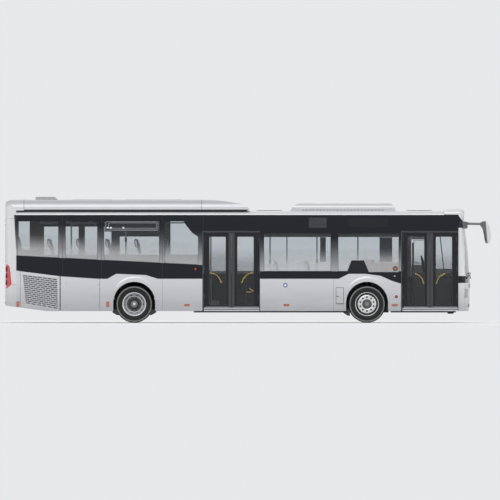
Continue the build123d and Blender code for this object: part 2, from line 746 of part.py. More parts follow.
with BuildPart() as front_axle:
    beam_half = kingpin_y - 425
    block(x_front_axle - 60, x_front_axle + 60, -beam_half, beam_half, 195, 300)
    for side in (-1, 1):
        # cranked end: rises from the low beam to the kingpin eye
        with BuildSketch(Plane.YZ.offset(x_front_axle - 50)):
            outline([(side * (beam_half - 80), 195), (side * beam_half, 195),
                     (side * (kingpin_y - 185), axle_z - eye_half),
                     (side * (kingpin_y - 40), axle_z - eye_half),
                     (side * (kingpin_y - 40), axle_z + eye_half),
                     (side * (kingpin_y - 225), axle_z + eye_half), (side * (beam_half - 80), 300)])
        extrude(amount=100)
        with BuildSketch(Plane.XY.offset(axle_z - eye_half)):
            with Locations((x_front_axle, side * kingpin_y)):
                Circle(58)
        extrude(amount=2 * eye_half)
    for side in (-1, 1):
        with BuildSketch(Plane.XY.offset(axle_z - eye_half - 5)):
            with Locations((x_front_axle, side * kingpin_y)):
                Circle(pin_radius + running_clearance)
        extrude(amount=2 * eye_half + 10, mode=Mode.SUBTRACT)
        # air spring between beam and wheel box roof
        with BuildSketch(Plane.XY.offset(300 + 60)):
            with Locations((x_front_axle, side * (kingpin_y - 395))):
                Circle(95)
        extrude(amount=box_top_z - 360)
save("front_axle", front_axle.part)

with BuildPart() as rear_axle:
    with Locations((x_rear_axle, 0, axle_z)):
        Sphere(205)
        Cylinder(78, 2 * (half_width - 675), rotation=(90, 0, 0))
        Cylinder(spindle_radius, 2 * rear_spindle_end, rotation=(90, 0, 0))
    for side in (-1, 1):
        arm_y = side * (half_width - 805)
        block(x_rear_axle - 520, x_rear_axle + 520, arm_y - 45, arm_y + 45,
              axle_z - 40, axle_z + 50)
        for x in (x_rear_axle - 430, x_rear_axle + 430):
            with BuildSketch(Plane.XY.offset(axle_z + 50)):
                with Locations((x, arm_y - side * 20)):
                    Circle(80)
            extrude(amount=high_bottom - axle_z - 50)
    add(chassis_rails.part, mode=Mode.SUBTRACT)
    add(cross_members.part, mode=Mode.SUBTRACT)
save("rear_axle", rear_axle.part)


def knuckle(side, name):
    """Fork round the axle's eye, spindle for the hub, and a steering arm to the rear."""
    with BuildPart() as piece:
        x, y = x_front_axle, side * kingpin_y
        for low in (axle_z - eye_half - lug_gap - fork_lug, axle_z + eye_half + lug_gap):
            with BuildSketch(Plane.XY.offset(low)):
                with Locations((x, y)):
                    Circle(52)
                with Locations((x, y + side * 35)):
                    Rectangle(100, 70)
            extrude(amount=fork_lug)
        reach = eye_half + lug_gap + fork_lug
        lo, hi = sorted((y + side * 61, y + side * 85))
        block(x - 50, x + 50, lo, hi, axle_z - reach, axle_z + reach)
        lo, hi = sorted((y + side * 50, y + side * 75))
        for low in (axle_z - reach, axle_z + reach - fork_lug):
            block(x - 50, x + 50, lo, hi, low, low + fork_lug)
        with BuildSketch(Plane.XY.offset(axle_z - reach)):
            with Locations((x, y)):
                Circle(pin_radius)
        extrude(amount=2 * reach)
        with BuildSketch(side_plane(side, kingpin_y + 80)):
            with Locations((x, axle_z)):
                Circle(spindle_radius)
        extrude(amount=-side * (front_spindle_end - kingpin_y - 80))
        # steering arm at the lower lug's height
        low = axle_z - reach
        lo, hi = sorted((y - 26, y + 26))
        block(x - steer_arm, x, lo, hi, low, low + 34)
        with BuildSketch(Plane.XY.offset(low)):
            with Locations((x - steer_arm, y)):
                Circle(28)
        extrude(amount=34)
        with BuildSketch(Plane.XY.offset(low)):
            with Locations((x - steer_arm, y)):
                Circle(11)
        extrude(amount=-40)
    save(name, piece.part)


def ring(radius_out, radius_in, y0, y1, side, x_axle):
    """A round band about a wheel's axis, from y0 to y1 outwards on a side."""
    with BuildSketch(side_plane(side, y0)) as band:
        with Locations((x_axle, axle_z)):
            Circle(radius_out)
            if radius_in:
                Circle(radius_in, mode=Mode.SUBTRACT)
    extrude(band.sketch, amount=-side * (y1 - y0))


def wheel_profile_plane(side, x_axle, y):
    """Plane whose first axis is the wheel's outward axis and whose second is the radius."""
    return Plane(origin=(x_axle, side * y, axle_z), x_dir=(0, side, 0), z_dir=(-side, 0, 0))


def tyres(side, x_axle, centres, name):
    half = tyre_width / 2
    axis = Axis((x_axle, 0, axle_z), (0, 1, 0))
    with BuildPart() as piece:
        for y in centres:
            with BuildSketch(wheel_profile_plane(side, x_axle, y)):
                with BuildLine():
                    tread_half, shoulder = half - 22, tyre_radius - 26
                    Polyline((-half + 28, rim_seat_radius), (half - 28, rim_seat_radius))
                    ThreePointArc((half - 28, rim_seat_radius),
                                  (half, (rim_seat_radius + shoulder) / 2 + 6), (half - 8, shoulder))
                    Polyline((half - 8, shoulder), (tread_half, tyre_radius - 4))
                    ThreePointArc((tread_half, tyre_radius - 4), (0, tyre_radius),
                                  (-tread_half, tyre_radius - 4))
                    Polyline((-tread_half, tyre_radius - 4), (-half + 8, shoulder))
                    ThreePointArc((-half + 8, shoulder),
                                  (-half, (rim_seat_radius + shoulder) / 2 + 6),
                                  (-half + 28, rim_seat_radius))
                make_face()
            revolve(axis=axis)
    save(name, piece.part)


hand_holes, hand_hole_radius, hand_hole_circle = 10, 20, 232
hub_radius = 112


def rims(side, x_axle, centres, disc_y, hub_from, hub_to, spindle_end, dish, name):
    """Barrels with a shared disc, hand holes in the disc, and the hub bored for its spindle."""
    half = tyre_width / 2 - 24
    with BuildPart() as piece:
        for y in centres:
            ring(rim_seat_radius - 0.3, barrel_radius, y - half, y + half, side, x_axle)
            for edge in (-1, 1):
                lo, hi = sorted((y + edge * half, y + edge * (half - 12)))
                ring(rim_seat_radius - 0.3, barrel_radius - 4, lo, hi, side, x_axle)
        ring(barrel_radius + 5, 0, disc_y - 12, disc_y + 12, side, x_axle)
        for y in centres[:-1]:
            ring(barrel_radius + 5, 0, y + half - 18, y + half, side, x_axle)
        # the disc's face stands out as a ring that carries the wheel nuts
        lo, hi = sorted((disc_y, disc_y + dish))
        ring(205, 150 if dish > 0 else 185, lo, hi, side, x_axle)
        ring(hub_radius, 0, hub_from, hub_to, side, x_axle)
        with BuildSketch(side_plane(side, disc_y - 60)):
            with Locations((x_axle, axle_z)):
                with PolarLocations(hand_hole_circle, hand_holes):
                    Circle(hand_hole_radius)
        extrude(amount=-side * 200, mode=Mode.SUBTRACT)
        with BuildSketch(side_plane(side, hub_from - 1)):
            with Locations((x_axle, axle_z)):
                Circle(spindle_radius + running_clearance)
        extrude(amount=-side * (spindle_end + 5 - hub_from), mode=Mode.SUBTRACT)
    save(name, piece.part)


for side, word in ((1, "left"), (-1, "right")):
    knuckle(side, f"front_{word}_knuckle")
    tyres(side, x_front_axle, [wheel_y], f"front_{word}_tyre")
    rims(side, x_front_axle, [wheel_y], wheel_y + 93, kingpin_y + 90, wheel_face_y - 3,
         front_spindle_end, 22, f"front_{word}_rim")
    inner_wheel_y = wheel_y - twin_pitch
    tyres(side, x_rear_axle, [inner_wheel_y, wheel_y], f"rear_{word}_tyres")
    rims(side, x_rear_axle, [inner_wheel_y, wheel_y], (wheel_y + inner_wheel_y) / 2 + 60,
         inner_wheel_y - 66, wheel_y + 53, rear_spindle_end, -40, f"rear_{word}_rims")

# cranked tie rod: eyes on the arms' pins, dropping to run under the floor
arm_low = axle_z - eye_half - lug_gap - fork_lug
rod_x = x_front_axle - steer_arm
rod_y = kingpin_y - 125
rod_path = [(kingpin_y, arm_low - 22), (rod_y, arm_low - 22), (rod_y - 100, rod_low_z),
            (100 - rod_y, rod_low_z), (-rod_y, arm_low - 22), (-kingpin_y, arm_low - 22)]
with BuildPart() as tie_rod:
    for (y0, z0), (y1, z1) in zip(rod_path, rod_path[1:]):
        run = Vector(0, y1 - y0, z1 - z0)
        with BuildSketch(Plane(origin=(rod_x, y0, z0), z_dir=run)):
            Circle(rod_radius)
        extrude(amount=run.length)
    with Locations(*[(rod_x, y, z) for y, z in rod_path[1:-1]]):
        Sphere(rod_radius + 3)
    for side in (-1, 1):
        with BuildSketch(Plane.XY.offset(arm_low - 43)):
            with Locations((rod_x, side * kingpin_y)):
                Circle(26)
        extrude(amount=40)
        with BuildSketch(Plane.XY.offset(arm_low - 50)):
            with Locations((rod_x, side * kingpin_y)):
                Circle(11 + running_clearance)
        extrude(amount=60, mode=Mode.SUBTRACT)
save("tie_rod", tie_rod.part)

# --- doors --------------------------------------------------------------------------------------------
leaf_thick = 40
leaf_y = wall_y - 4 - leaf_thick / 2       # middle plane of the closed leaves
leaf_low_z = low_floor_z + 12
leaf_high_z = door_top_z - gap
side_stile, top_stile, foot_rail = 138, 100, 62
meet_gap = 12


def hinged_plan(round_x, square_x, y, thick, low, high):
    """An upright slab whose end at round_x is a half round and whose other end is square."""
    turn = 1 if square_x > round_x else -1
    axis_x = round_x + turn * thick / 2
    with BuildSketch(Plane.XY.offset(low)) as plan:
        with BuildLine() as line:
            Line((axis_x, y - thick / 2), (square_x, y - thick / 2))
            Line((square_x, y - thick / 2), (square_x, y + thick / 2))
            Line((square_x, y + thick / 2), (axis_x, y + thick / 2))
            ThreePointArc((axis_x, y + thick / 2), (round_x, y), (axis_x, y - thick / 2))
        make_face(line.edges())
    extrude(plan.sketch, amount=high - low)


def leaf(stations, hinge_end, name):
    """Frame and pane of one leaf. hinge_end is -1 for the rear edge and +1 for the front edge."""
    x0, x1 = at(stations[0]) + gap, at(stations[1]) - gap
    middle = (x0 + x1) / 2
    if hinge_end < 0:
        a, b = x0, middle - meet_gap / 2
    else:
        a, b = middle + meet_gap / 2, x1
    meet_stile = side_stile
    w0, w1 = (a + side_stile, b - meet_stile)
    pane_z = (leaf_low_z + foot_rail, leaf_high_z - top_stile)
    hinge_x = a if hinge_end < 0 else b
    with BuildPart() as frame:
        # the hinge edge is round about the hinge line, so it turns in its gap
        hinged_plan(hinge_x, b if hinge_end < 0 else a, -leaf_y, leaf_thick, leaf_low_z, leaf_high_z)
        with BuildSketch(side_plane(-1, leaf_y + leaf_thick)):
            rect(w0, w1, *pane_z)
        extrude(amount=-2 * leaf_thick, mode=Mode.SUBTRACT)
    save(name, frame.part)
    with BuildPart() as pane:
        with BuildSketch(side_plane(-1, leaf_y + leaf_thick / 2 - 4)):
            rect(w0 + 2, w1 - 2, pane_z[0] + 2, pane_z[1] - 2)
        extrude(amount=-10)
    save(f"{name}_glass", pane.part)
    return hinge_x - hinge_end * leaf_thick / 2


hinge_lines = {}
for word, stations in (("mid", mid_door_s), ("front", front_door_s)):
    for edge, hinge_end in (("rear", -1), ("fore", 1)):
        hinge_lines[f"{word}_door_{edge}_leaf"] = leaf(stations, hinge_end, f"{word}_door_{edge}_leaf")

# --- mirrors -------------------------------------------------------------------------------------------
mirror_root = (x_front - 215, 2540)        # X and height where the arms leave the front corners
mirror_y = half_width - 155
mirror_arm = 29               # radius of the arm
# head and root seen from the side: X from the tip or the root, height from the arm
mirror_head = [(-262, -10), (-240, -60), (-182, -141), (-147, -278), (-133, -377), (-98, -503),
               (-64, -513), (-16, -464), (0, -340), (0, -229), (-35, -82), (-90, 20), (-133, 58),
               (-190, 60), (-240, 30)]
mirror_base = [(-40, -125), (115, -130), (142, -100), (142, 38), (95, 54), (-30, 54)]
with BuildPart() as mirrors:
    for side in (-1, 1):
        tip_x = x_front + mirror_reach
        with BuildLine():
            FilletPolyline((mirror_root[0] - 60, side * mirror_y, mirror_root[1]),
                           (mirror_root[0] + 160, side * mirror_y, mirror_root[1]),
                           (tip_x - 100, side * mirror_y, mirror_root[1] - 10),
                           (tip_x - 72, side * mirror_y, mirror_root[1] - 200), radius=30)
        with BuildSketch(Plane(origin=(mirror_root[0] - 60, side * mirror_y, mirror_root[1]),
                               z_dir=(1, 0, 0))):
            Circle(mirror_arm)
        sweep()
        with BuildSketch(Plane.XZ.offset(-side * mirror_y - 110)):
            outline([(tip_x + dx, mirror_root[1] + dz) for dx, dz in mirror_head])
        extrude(amount=220)
        with BuildSketch(Plane.XZ.offset(-side * mirror_y - 55)):
            outline([(mirror_root[0] + dx, mirror_root[1] + dz) for dx, dz in mirror_base])
        extrude(amount=110)
    add(front_outer, mode=Mode.SUBTRACT)
    add(windscreen.part, mode=Mode.SUBTRACT)
save("mirrors", mirrors.part)

# --- saloon ---------------------------------------------------------------------------------------------
seat_wide, seat_deep, seat_high, back_high = 430, 400, 430, 760
# seat pairs: (station of the back's foot, floor height, which side)
seat_rows = [(s, high_floor_z, side) for s in (1250, 1995, 2740, 3485, 4230) for side in (-1, 1)]
seat_rows += [(front_axle_s - 2230, low_floor_z, 1), (front_axle_s - 1430, low_floor_z, 1)]


def seat_pair(x, z, y0, y1, grounded):
    """A pair of joined seats facing forward, from y0 to y1, on a pedestal down to the floor."""
    with BuildSketch(Plane.XZ.offset(-y0)) as profile:
        outline([(x, z + seat_high - 60), (x + seat_deep + 60, z + seat_high - 20),
                 (x + seat_deep + 60, z + seat_high + 30), (x + 70, z + seat_high + 10),
                 (x - 70, z + seat_high + back_high), (x - 125, z + seat_high + back_high)])
    extrude(profile.sketch, amount=-(y1 - y0))
    block(x + 80, x + 320, (y0 + y1) / 2 - 60, (y0 + y1) / 2 + 60, grounded, z + seat_high - 40)


with BuildPart() as seats:
    for s, floor_z, side in seat_rows:
        lo, hi = sorted((side * (inner_y - 40), side * (inner_y - 40 - 2 * seat_wide)))
        ground = floor_z
        if rear_box[0] - 350 < at(s) < rear_box[1]:
            ground = box_top_z + box_skin
        seat_pair(at(s), floor_z, lo, hi, ground)
    # bench across the back
    seat_pair(at(430), high_floor_z + 60, -inner_y + 40, inner_y - 40, high_floor_z)
save("passenger_seats", seats.part)

with BuildPart() as driver_seat:
    x = x_front - 1150
    seat_pair(x, low_floor_z + 160, inner_y - 728, inner_y - 728 + seat_wide + 90, low_floor_z)
save("driver_seat", driver_seat.part)

with BuildPart() as dashboard:
    with BuildSketch(Plane.XZ.offset(-60)):
        foot_x = x_front - 330
        outline([(foot_x, low_floor_z), (foot_x + 120, low_floor_z), (foot_x + 175, 1000),
                 (foot_x + 100, 1160), (foot_x - 120, 1160), (foot_x - 170, 1080),
                 (foot_x - 30, 960)])
    extrude(amount=-(inner_y - 128))
    add(front_solid(wall + 15), mode=Mode.INTERSECT)
save("dashboard", dashboard.part)

with BuildPart() as steering_wheel:
    hub = (x_front - 640, inner_y - 448, 1190)
    plane = Plane(origin=hub, z_dir=(-sin(radians(25)), 0, cos(radians(25))))
    with Locations(plane):
        Torus(225, 16)
        Cylinder(50, 30)
        Box(30, 430, 14)
        Box(430, 30, 14)
        with Locations((0, 0, -85)):
            Cylinder(28, 170)
    with BuildSketch(Plane.XZ.offset(40 - hub[1])):
        outline([(hub[0] + 25, 1030), (hub[0] + 95, 1060), (foot_x - 60, 1060),
                 (foot_x - 60, 980), (hub[0] + 60, 990)])
    extrude(amount=-80)
    add(dashboard.part, mode=Mode.SUBTRACT)
save("steering_wheel", steering_wheel.part)

cab_x = x_front - 1480        # rear wall of the driver's cab
partition_top_z = 2050
cab_door_y = 60
cab_door_x = (cab_x + 35 + gap, cab_x + 610)
with BuildPart() as cab_partition:
    block(cab_x, cab_x + 35, cab_door_y, inner_y - 2, low_floor_z, partition_top_z)
    block(cab_door_x[1] + gap, foot_x - 172, cab_door_y, cab_door_y + 35, low_floor_z, 1140)
save("cab_partition", cab_partition.part)

with BuildPart() as cab_door:
    hinged_plan(*cab_door_x, cab_door_y + 16, 32, 430, 1290)
save("cab_door", cab_door.part)

# poles: (station, side, distance in from the side wall)
pole_radius = 18
poles = [(front_axle_s - 2480, -1, 568), (front_axle_s - 2050, -1, 148),
         (front_axle_s - 1280, -1, 568), (front_axle_s - 230, -1, 828),
         (front_axle_s + 370, -1, 828), (front_axle_s - 2480, 1, 588), (front_axle_s - 780, 1, 828),
         (mid_door_s[0] + 185, 1, 788), (3100, -1, 920), (3100, 1, 920), (1700, -1, 920),
         (1700, 1, 920)]
with BuildPart() as handrails:
    for s, side, inset in poles:
        y = side * (inner_y - inset)
        foot = low_floor_z if s > step_s else high_floor_z
        with BuildSketch(Plane.XY.offset(foot)):
            with Locations((at(s), y)):
                Circle(pole_radius)
        extrude(amount=crown_z - roof_thick - 8 - foot - abs(y) * 0.028)
save("handrails", handrails.part)
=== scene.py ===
"""Looks of the city bus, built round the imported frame. Metres; +X front, +Y driver's side, +Z up."""
import math

import bmesh
import bpy
from mathutils import Matrix, Vector


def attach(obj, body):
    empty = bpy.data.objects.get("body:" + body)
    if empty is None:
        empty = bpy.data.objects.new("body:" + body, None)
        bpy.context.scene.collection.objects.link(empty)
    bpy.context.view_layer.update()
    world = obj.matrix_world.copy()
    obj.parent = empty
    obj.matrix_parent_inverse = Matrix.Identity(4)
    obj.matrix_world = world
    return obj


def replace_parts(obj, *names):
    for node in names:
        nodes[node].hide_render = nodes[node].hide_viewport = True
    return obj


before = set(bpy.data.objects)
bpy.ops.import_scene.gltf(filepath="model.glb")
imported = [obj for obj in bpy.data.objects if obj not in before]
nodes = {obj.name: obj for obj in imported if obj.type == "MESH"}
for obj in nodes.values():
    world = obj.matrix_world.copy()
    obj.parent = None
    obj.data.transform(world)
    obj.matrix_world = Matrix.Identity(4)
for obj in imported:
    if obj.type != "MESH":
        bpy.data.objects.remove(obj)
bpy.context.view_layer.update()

X_REAR, WALL_Y = -6.225, 1.263
X_RA, X_FA, AXLE_Z = -2.905, 3.055, 0.478
RAIL_Z = 2.762
# middle planes of the outer wheels and of the inner rear wheels
WHEEL_Y, TWIN_Y = 1.077, 0.766


def at(s):
    """X of a station, in metres forward of the rear face."""
    return X_REAR + s


# ---------------------------------------------------------------- materials
class Tree:
    """Short calls that make nodes in a tree."""

    def __init__(self, tree):
        self.t = tree

    def node(self, kind, **inputs):
        n = self.t.nodes.new("ShaderNode" + kind)
        for k, v in inputs.items():
            key = int(k[1:]) if k[0] == "i" and k[1:].isdigit() else k.replace("_", " ")
            if isinstance(v, bpy.types.NodeSocket):
                self.t.links.new(v, n.inputs[key])
            else:
                n.inputs[key].default_value = v
        return n

    def math(self, op, a, b=0.0):
        n = self.node("Math", i0=a, i1=b)
        n.operation = op
        return n.outputs[0]

    def mul(self, a, b):
        return self.math("MULTIPLY", a, b)

    def add(self, a, b):
        return self.math("ADD", a, b)

    def sub(self, a, b):
        return self.math("SUBTRACT", a, b)

    def most(self, a, b):
        return self.math("MAXIMUM", a, b)

    def over(self, a, b):
        return self.math("GREATER_THAN", a, b)

    def under(self, a, b):
        return self.math("LESS_THAN", a, b)

    def size(self, a):
        return self.math("ABSOLUTE", a)

    def ramp(self, fac, stops):
        n = self.node("ValToRGB", Fac=fac)
        e = n.color_ramp.elements
        while len(e) < len(stops):
            e.new(0.5)
        for k, (pos, col) in zip(e, stops):
            k.position = pos
            k.color = (*col, 1) if len(col) == 3 else col
        return n.outputs[0]


class Mat(Tree):
    """A node material with one Principled shader and short calls to feed it."""

    def __init__(self, name, color=(0.5, 0.5, 0.5), rough=0.5, metal=0.0, coat=0.0, spec=0.5):
        self.m = bpy.data.materials.new(name)
        self.m.use_nodes = True
        self.color = color
        super().__init__(self.m.node_tree)
        self.p = self.t.nodes["Principled BSDF"]
        self.out = self.t.nodes["Material Output"]
        self.set(Base_Color=(*color, 1), Roughness=rough, Metallic=metal, Coat_Weight=coat,
                 Coat_Roughness=0.06, Specular_IOR_Level=spec)
        self.coords = self.t.nodes.new("ShaderNodeTexCoord").outputs["Object"]

    def set(self, **values):
        for k, v in values.items():
            self.p.inputs[k.replace("_", " ")].default_value = v
        return self

    def link(self, socket, name):
        self.t.links.new(socket, self.p.inputs[name])

    def xyz(self, axis):
        return self.node("SeparateXYZ", Vector=self.coords).outputs[axis]

    def noise(self, scale, detail=3.0, stretch=None):
        vec = self.coords
        if stretch:
            vec = self.node("Mapping", Vector=self.coords, Scale=stretch).outputs[0]
        return self.node("TexNoise", Vector=vec, Scale=scale, Detail=detail).outputs["Fac"]

    def span(self, value, lo, hi):
        """A value mapped from lo..hi to 0..1 and clamped."""
        return self.node("MapRange", Value=value, From_Min=lo, From_Max=hi).outputs[0]

    def mix(self, fac, a, b):
        n = self.t.nodes.new("ShaderNodeMix")
        n.data_type = "RGBA"
        for sock, v in ((n.inputs[0], fac), (n.inputs[6], a), (n.inputs[7], b)):
            if isinstance(v, bpy.types.NodeSocket):
                self.t.links.new(v, sock)
            else:
                sock.default_value = v if not isinstance(v, tuple) or len(v) == 4 else (*v, 1)
        return n.outputs[2]

    def bump(self, height, strength=0.2, distance=0.002):
        self.link(self.node("Bump", Height=height, Strength=strength, Distance=distance).outputs[0],
                  "Normal")
        return self

    def grain(self, scale, detail, strength, distance):
        return self.bump(self.noise(scale, detail), strength, distance)

    def vary(self, amount, scale, color=None):
        """Colour that drifts a little in patches of the given scale."""
        color = color or self.color
        dark = tuple(c * (1 - amount) for c in color)
        light = tuple(min(1, c * (1 + amount)) for c in color)
        self.link(self.ramp(self.noise(scale, 4.0), [(0.3, dark), (0.7, light)]), "Base Color")
        return self


SILVER = (0.59, 0.6, 0.62)
BLACK = (0.008, 0.01, 0.015)


def silver_nodes(m, tone=SILVER):
    """Metallic paint: flakes, painted shade that darkens it in patches towards the skirts' foot, and
    painted shade on the crown; gives the colour and the shade mask.
    """
    flake = m.noise(900.0, 2.0)
    # painted shade: darker towards the foot of the skirts, in noisy patches
    low_shade = m.span(m.xyz(2), 1.12, 0.3)
    foot_shade = m.mul(low_shade, m.span(m.noise(2.2, 5.0, (0.6, 1, 3)), -0.9, 1.0))
    base = m.ramp(flake, [(0.25, tuple(c * 0.93 for c in tone)), (0.75, tuple(c * 1.05 for c in tone))])
    # painted shade: the tops above 2.96 m, on the fairing's crown, are darkened
    crown_shade = m.mul(m.span(m.xyz(2), 2.96, 3.08), 0.45)
    return m.mix(m.most(crown_shade, m.mul(foot_shade, 0.72)), base, (0.2, 0.21, 0.225)), foot_shade


silver = Mat("silver_paint", SILVER, 0.36, 0.25, 0.5)
col, foot_shade = silver_nodes(silver)
silver.link(col, "Base Color")
# the painted shade at the skirts' foot also makes the paint rougher there
silver.link(silver.add(silver.mul(foot_shade, 0.2), 0.36), "Roughness")
silver.bump(silver.noise(1.3, 2.0, (1, 1, 0.5)), 0.05, 0.01)


def glass_line(m):
    """Height above the lower edge of the glass band, which slants behind the middle door."""
    slant = m.mul(m.span(m.xyz(0), at(0.3), at(5.095)), -0.24)
    drop = m.mul(m.over(m.xyz(0), at(5.8)), -0.16)
    height = m.add(m.add(slant, drop), 1.72)
    return m.sub(m.xyz(2), height)


def band_colour(m):
    """Black glass band: dark at its top, with a painted reflection that fades to pale down to a sharp edge.
    """
    above = glass_line(m)
    # painted reflection: pale towards the band's lower edge, dark at its top
    fade = m.ramp(m.span(above, 0.0, 1.0),
                  [(0.0, (0.34, 0.345, 0.36)), (0.28, (0.2, 0.205, 0.215)), (0.62, (0.055, 0.058, 0.066)),
                   (0.86, BLACK)])
    return m.mix(m.over(above, 0.0), BLACK, fade)


band = Mat("black_band", BLACK, 0.09, 0.0, 0.0, 0.22)
# painted light: inside the wall the band is pale at the foot and dark at the top, for the light in the bus
inside = band.under(band.size(band.xyz(1)), WALL_Y - 0.004)
inner_shade = band.ramp(band.span(band.xyz(2), 1.45, 2.65),
                 [(0.0, (0.9, 0.89, 0.9)), (0.3, (0.78, 0.77, 0.78)), (0.62, (0.42, 0.415, 0.43)),
                  (1.0, (0.26, 0.265, 0.28))])
band.link(band.mix(inside, band_colour(band), inner_shade), "Base Color")
gloss = band.add(band.mul(band.noise(6.0, 5.0), 0.07), 0.05)
band.link(band.add(band.mul(inside, 0.5), gloss), "Roughness")

mask = Mat("front_paint", SILVER, 0.36, 0.25, 0.1, 0.15)
# painted highlight: the front mask's silver is lighter than the sides', for its brighter corners
col, foot_shade = silver_nodes(mask, (0.64, 0.645, 0.655))
z, x = mask.xyz(2), mask.xyz(0)
stripe = mask.mul(mask.over(z, 1.02), mask.under(z, 1.2))
brow = mask.mul(mask.over(z, 2.43), mask.under(z, 2.77))
slant = mask.add(z, mask.mul(mask.sub(x, at(11.6)), 1.3))
ends = mask.most(mask.under(slant, 2.774),
                 mask.under(mask.size(mask.xyz(1)), 1.08))
brow = mask.mul(brow, ends)
dark = mask.most(stripe, brow)
mask.link(mask.mix(dark, col, BLACK), "Base Color")
mask.link(mask.sub(0.25, mask.mul(dark, 0.25)), "Metallic")
mask.link(mask.sub(0.36, mask.mul(dark, 0.26)), "Roughness")

tail = Mat("rear_paint", SILVER, 0.36, 0.25, 0.3, 0.4)
# painted highlight: the rear mask's silver is lighter than the sides', for its brighter corners
col, foot_shade = silver_nodes(tail, (0.64, 0.65, 0.665))
z, y = tail.xyz(2), tail.size(tail.xyz(1))
pane = tail.mul(tail.over(z, 1.5), tail.under(z, 2.7))
pane = tail.mul(pane, tail.under(y, 0.95))
corner = tail.add(tail.mul(tail.xyz(2), -0.0604), at(0.245) + 2.75 * 0.0604)
strip = tail.mul(tail.over(tail.xyz(0), corner), tail.under(z, RAIL_Z))
strip = tail.mul(strip, tail.over(z, 1.36))
strip = tail.mul(strip, tail.under(tail.xyz(0), at(0.4)))
pane = tail.most(pane, strip)
tail.link(tail.mix(pane, col, BLACK), "Base Color")
tail.link(tail.sub(0.25, tail.mul(pane, 0.25)), "Metallic")
tail.link(tail.sub(0.36, tail.mul(pane, 0.26)), "Roughness")


def glass(name, tint=(0.865, 0.885, 0.895), fade=None, body=0.012, mirror=0.45):
    """Clear tinted pane that mirrors at a slant and, where asked for, has a painted reflection that fades
    to pale at its foot.
    """
    m = Mat(name, (0.35, 0.36, 0.38), 0.04, 0.0, 0.0)
    clear = m.node("BsdfTransparent", Color=(*tint, 1))
    if fade:
        # painted reflection: pale and less clear towards the glass band's lower edge
        above = m.span(glass_line(m), 0.0, 1.0)
        share = m.ramp(above, [(0.0, (fade,) * 3), (0.2, (fade * 0.85,) * 3), (0.42, (fade * 0.25,) * 3),
                               (0.6, (0.012,) * 3)])
        tone = m.ramp(above, [(0.0, (0.84, 0.845, 0.85)), (0.4, (0.78, 0.785, 0.79)),
                              (0.75, (0.1, 0.105, 0.11)),
                              (1.0, BLACK)])
        m.link(tone, "Base Color")
    else:
        share = m.add(m.mul(m.noise(2.0), 0.02), body)
    body = m.node("MixShader", Fac=share, i1=clear.outputs[0], i2=m.p.outputs[0])
    fres = m.node("Fresnel", IOR=1.45)
    gloss = m.node("BsdfGlossy", Color=(1, 1, 1, 1), Roughness=0.02)
    last = m.node("MixShader", Fac=m.mul(fres.outputs[0], mirror), i1=body.outputs[0], i2=gloss.outputs[0])
    m.t.links.new(last.outputs[0], m.out.inputs[0])
    return m


# side windows with the painted reflection at their foot
side_glass = glass("side_glass", fade=0.33)
door_glass = glass("door_glass", (0.885, 0.9, 0.91))
screen_glass = glass("screen_glass", (0.9, 0.92, 0.93), body=0.02, mirror=0.9)
rear_glass = glass("rear_glass", (0.5, 0.52, 0.54), body=0.15, mirror=0.9)
sign_glass = Mat("sign_glass", (0.022, 0.024, 0.028), 0.12, 0.0, 0.2, 0.3)
sign_glass.vary(0.25, 40.0, (0.035, 0.037, 0.042))
sign_dark = Mat("sign_dark", (0.014, 0.015, 0.018), 0.1, 0.0, 0.0, 0.22).vary(0.25, 40.0)


def wheel_radius(m, x):
    """Distance from a wheel's own axle line."""
    u, v = m.sub(m.xyz(0), x), m.sub(m.xyz(2), AXLE_Z)
    return m.math("SQRT", m.add(m.mul(u, u), m.mul(v, v)))


tyre_m = Mat("tyre_rubber", (0.012, 0.012, 0.013), 0.62, spec=0.3)
hub_x = tyre_m.mul(tyre_m.over(tyre_m.xyz(0), 0.0), X_FA - X_RA)
# painted highlight: a grey ring on the sidewall near the shoulder
shoulder_highlight = tyre_m.ramp(tyre_m.span(wheel_radius(tyre_m, tyre_m.add(hub_x, X_RA)), 0.29, 0.48),
                      [(0.0, (0.018,) * 3), (0.2, (0.008,) * 3), (0.67, (0.01,) * 3), (0.72, (0.24,) * 3),
                       (0.83, (0.28,) * 3), (0.86, (0.009,) * 3)])
tyre_m.link(tyre_m.mix(tyre_m.mul(tyre_m.noise(14.0, 4.0), 0.5), shoulder_highlight, (0.008, 0.008, 0.009)),
            "Base Color")
tyre_m.grain(160.0, 3.0, 0.25, 0.001)
rubber = Mat("seal_rubber", (0.012, 0.012, 0.013), 0.6).vary(0.2, 30.0, (0.014, 0.014, 0.015))
steel = Mat("wheel_steel", (0.6, 0.61, 0.62), 0.34, 0.45).vary(0.03, 9.0, (0.6, 0.605, 0.62))
steel.grain(160.0, 3.0, 0.04, 0.0006)
# painted shade: the barrel is near black inside a radius of about 0.28 m, in the groove by the nut ring
front_steel = Mat("front_steel", (0.6, 0.61, 0.62), 0.34, 0.45)
front_steel.link(front_steel.ramp(front_steel.span(wheel_radius(front_steel, X_FA), 0.2, 0.3),
                                  [(0.0, (0.05, 0.05, 0.053)), (0.82, (0.07, 0.07, 0.073)),
                                   (0.87, (0.58, 0.585, 0.6))]),
                 "Base Color")
front_steel.grain(160.0, 3.0, 0.04, 0.0006)
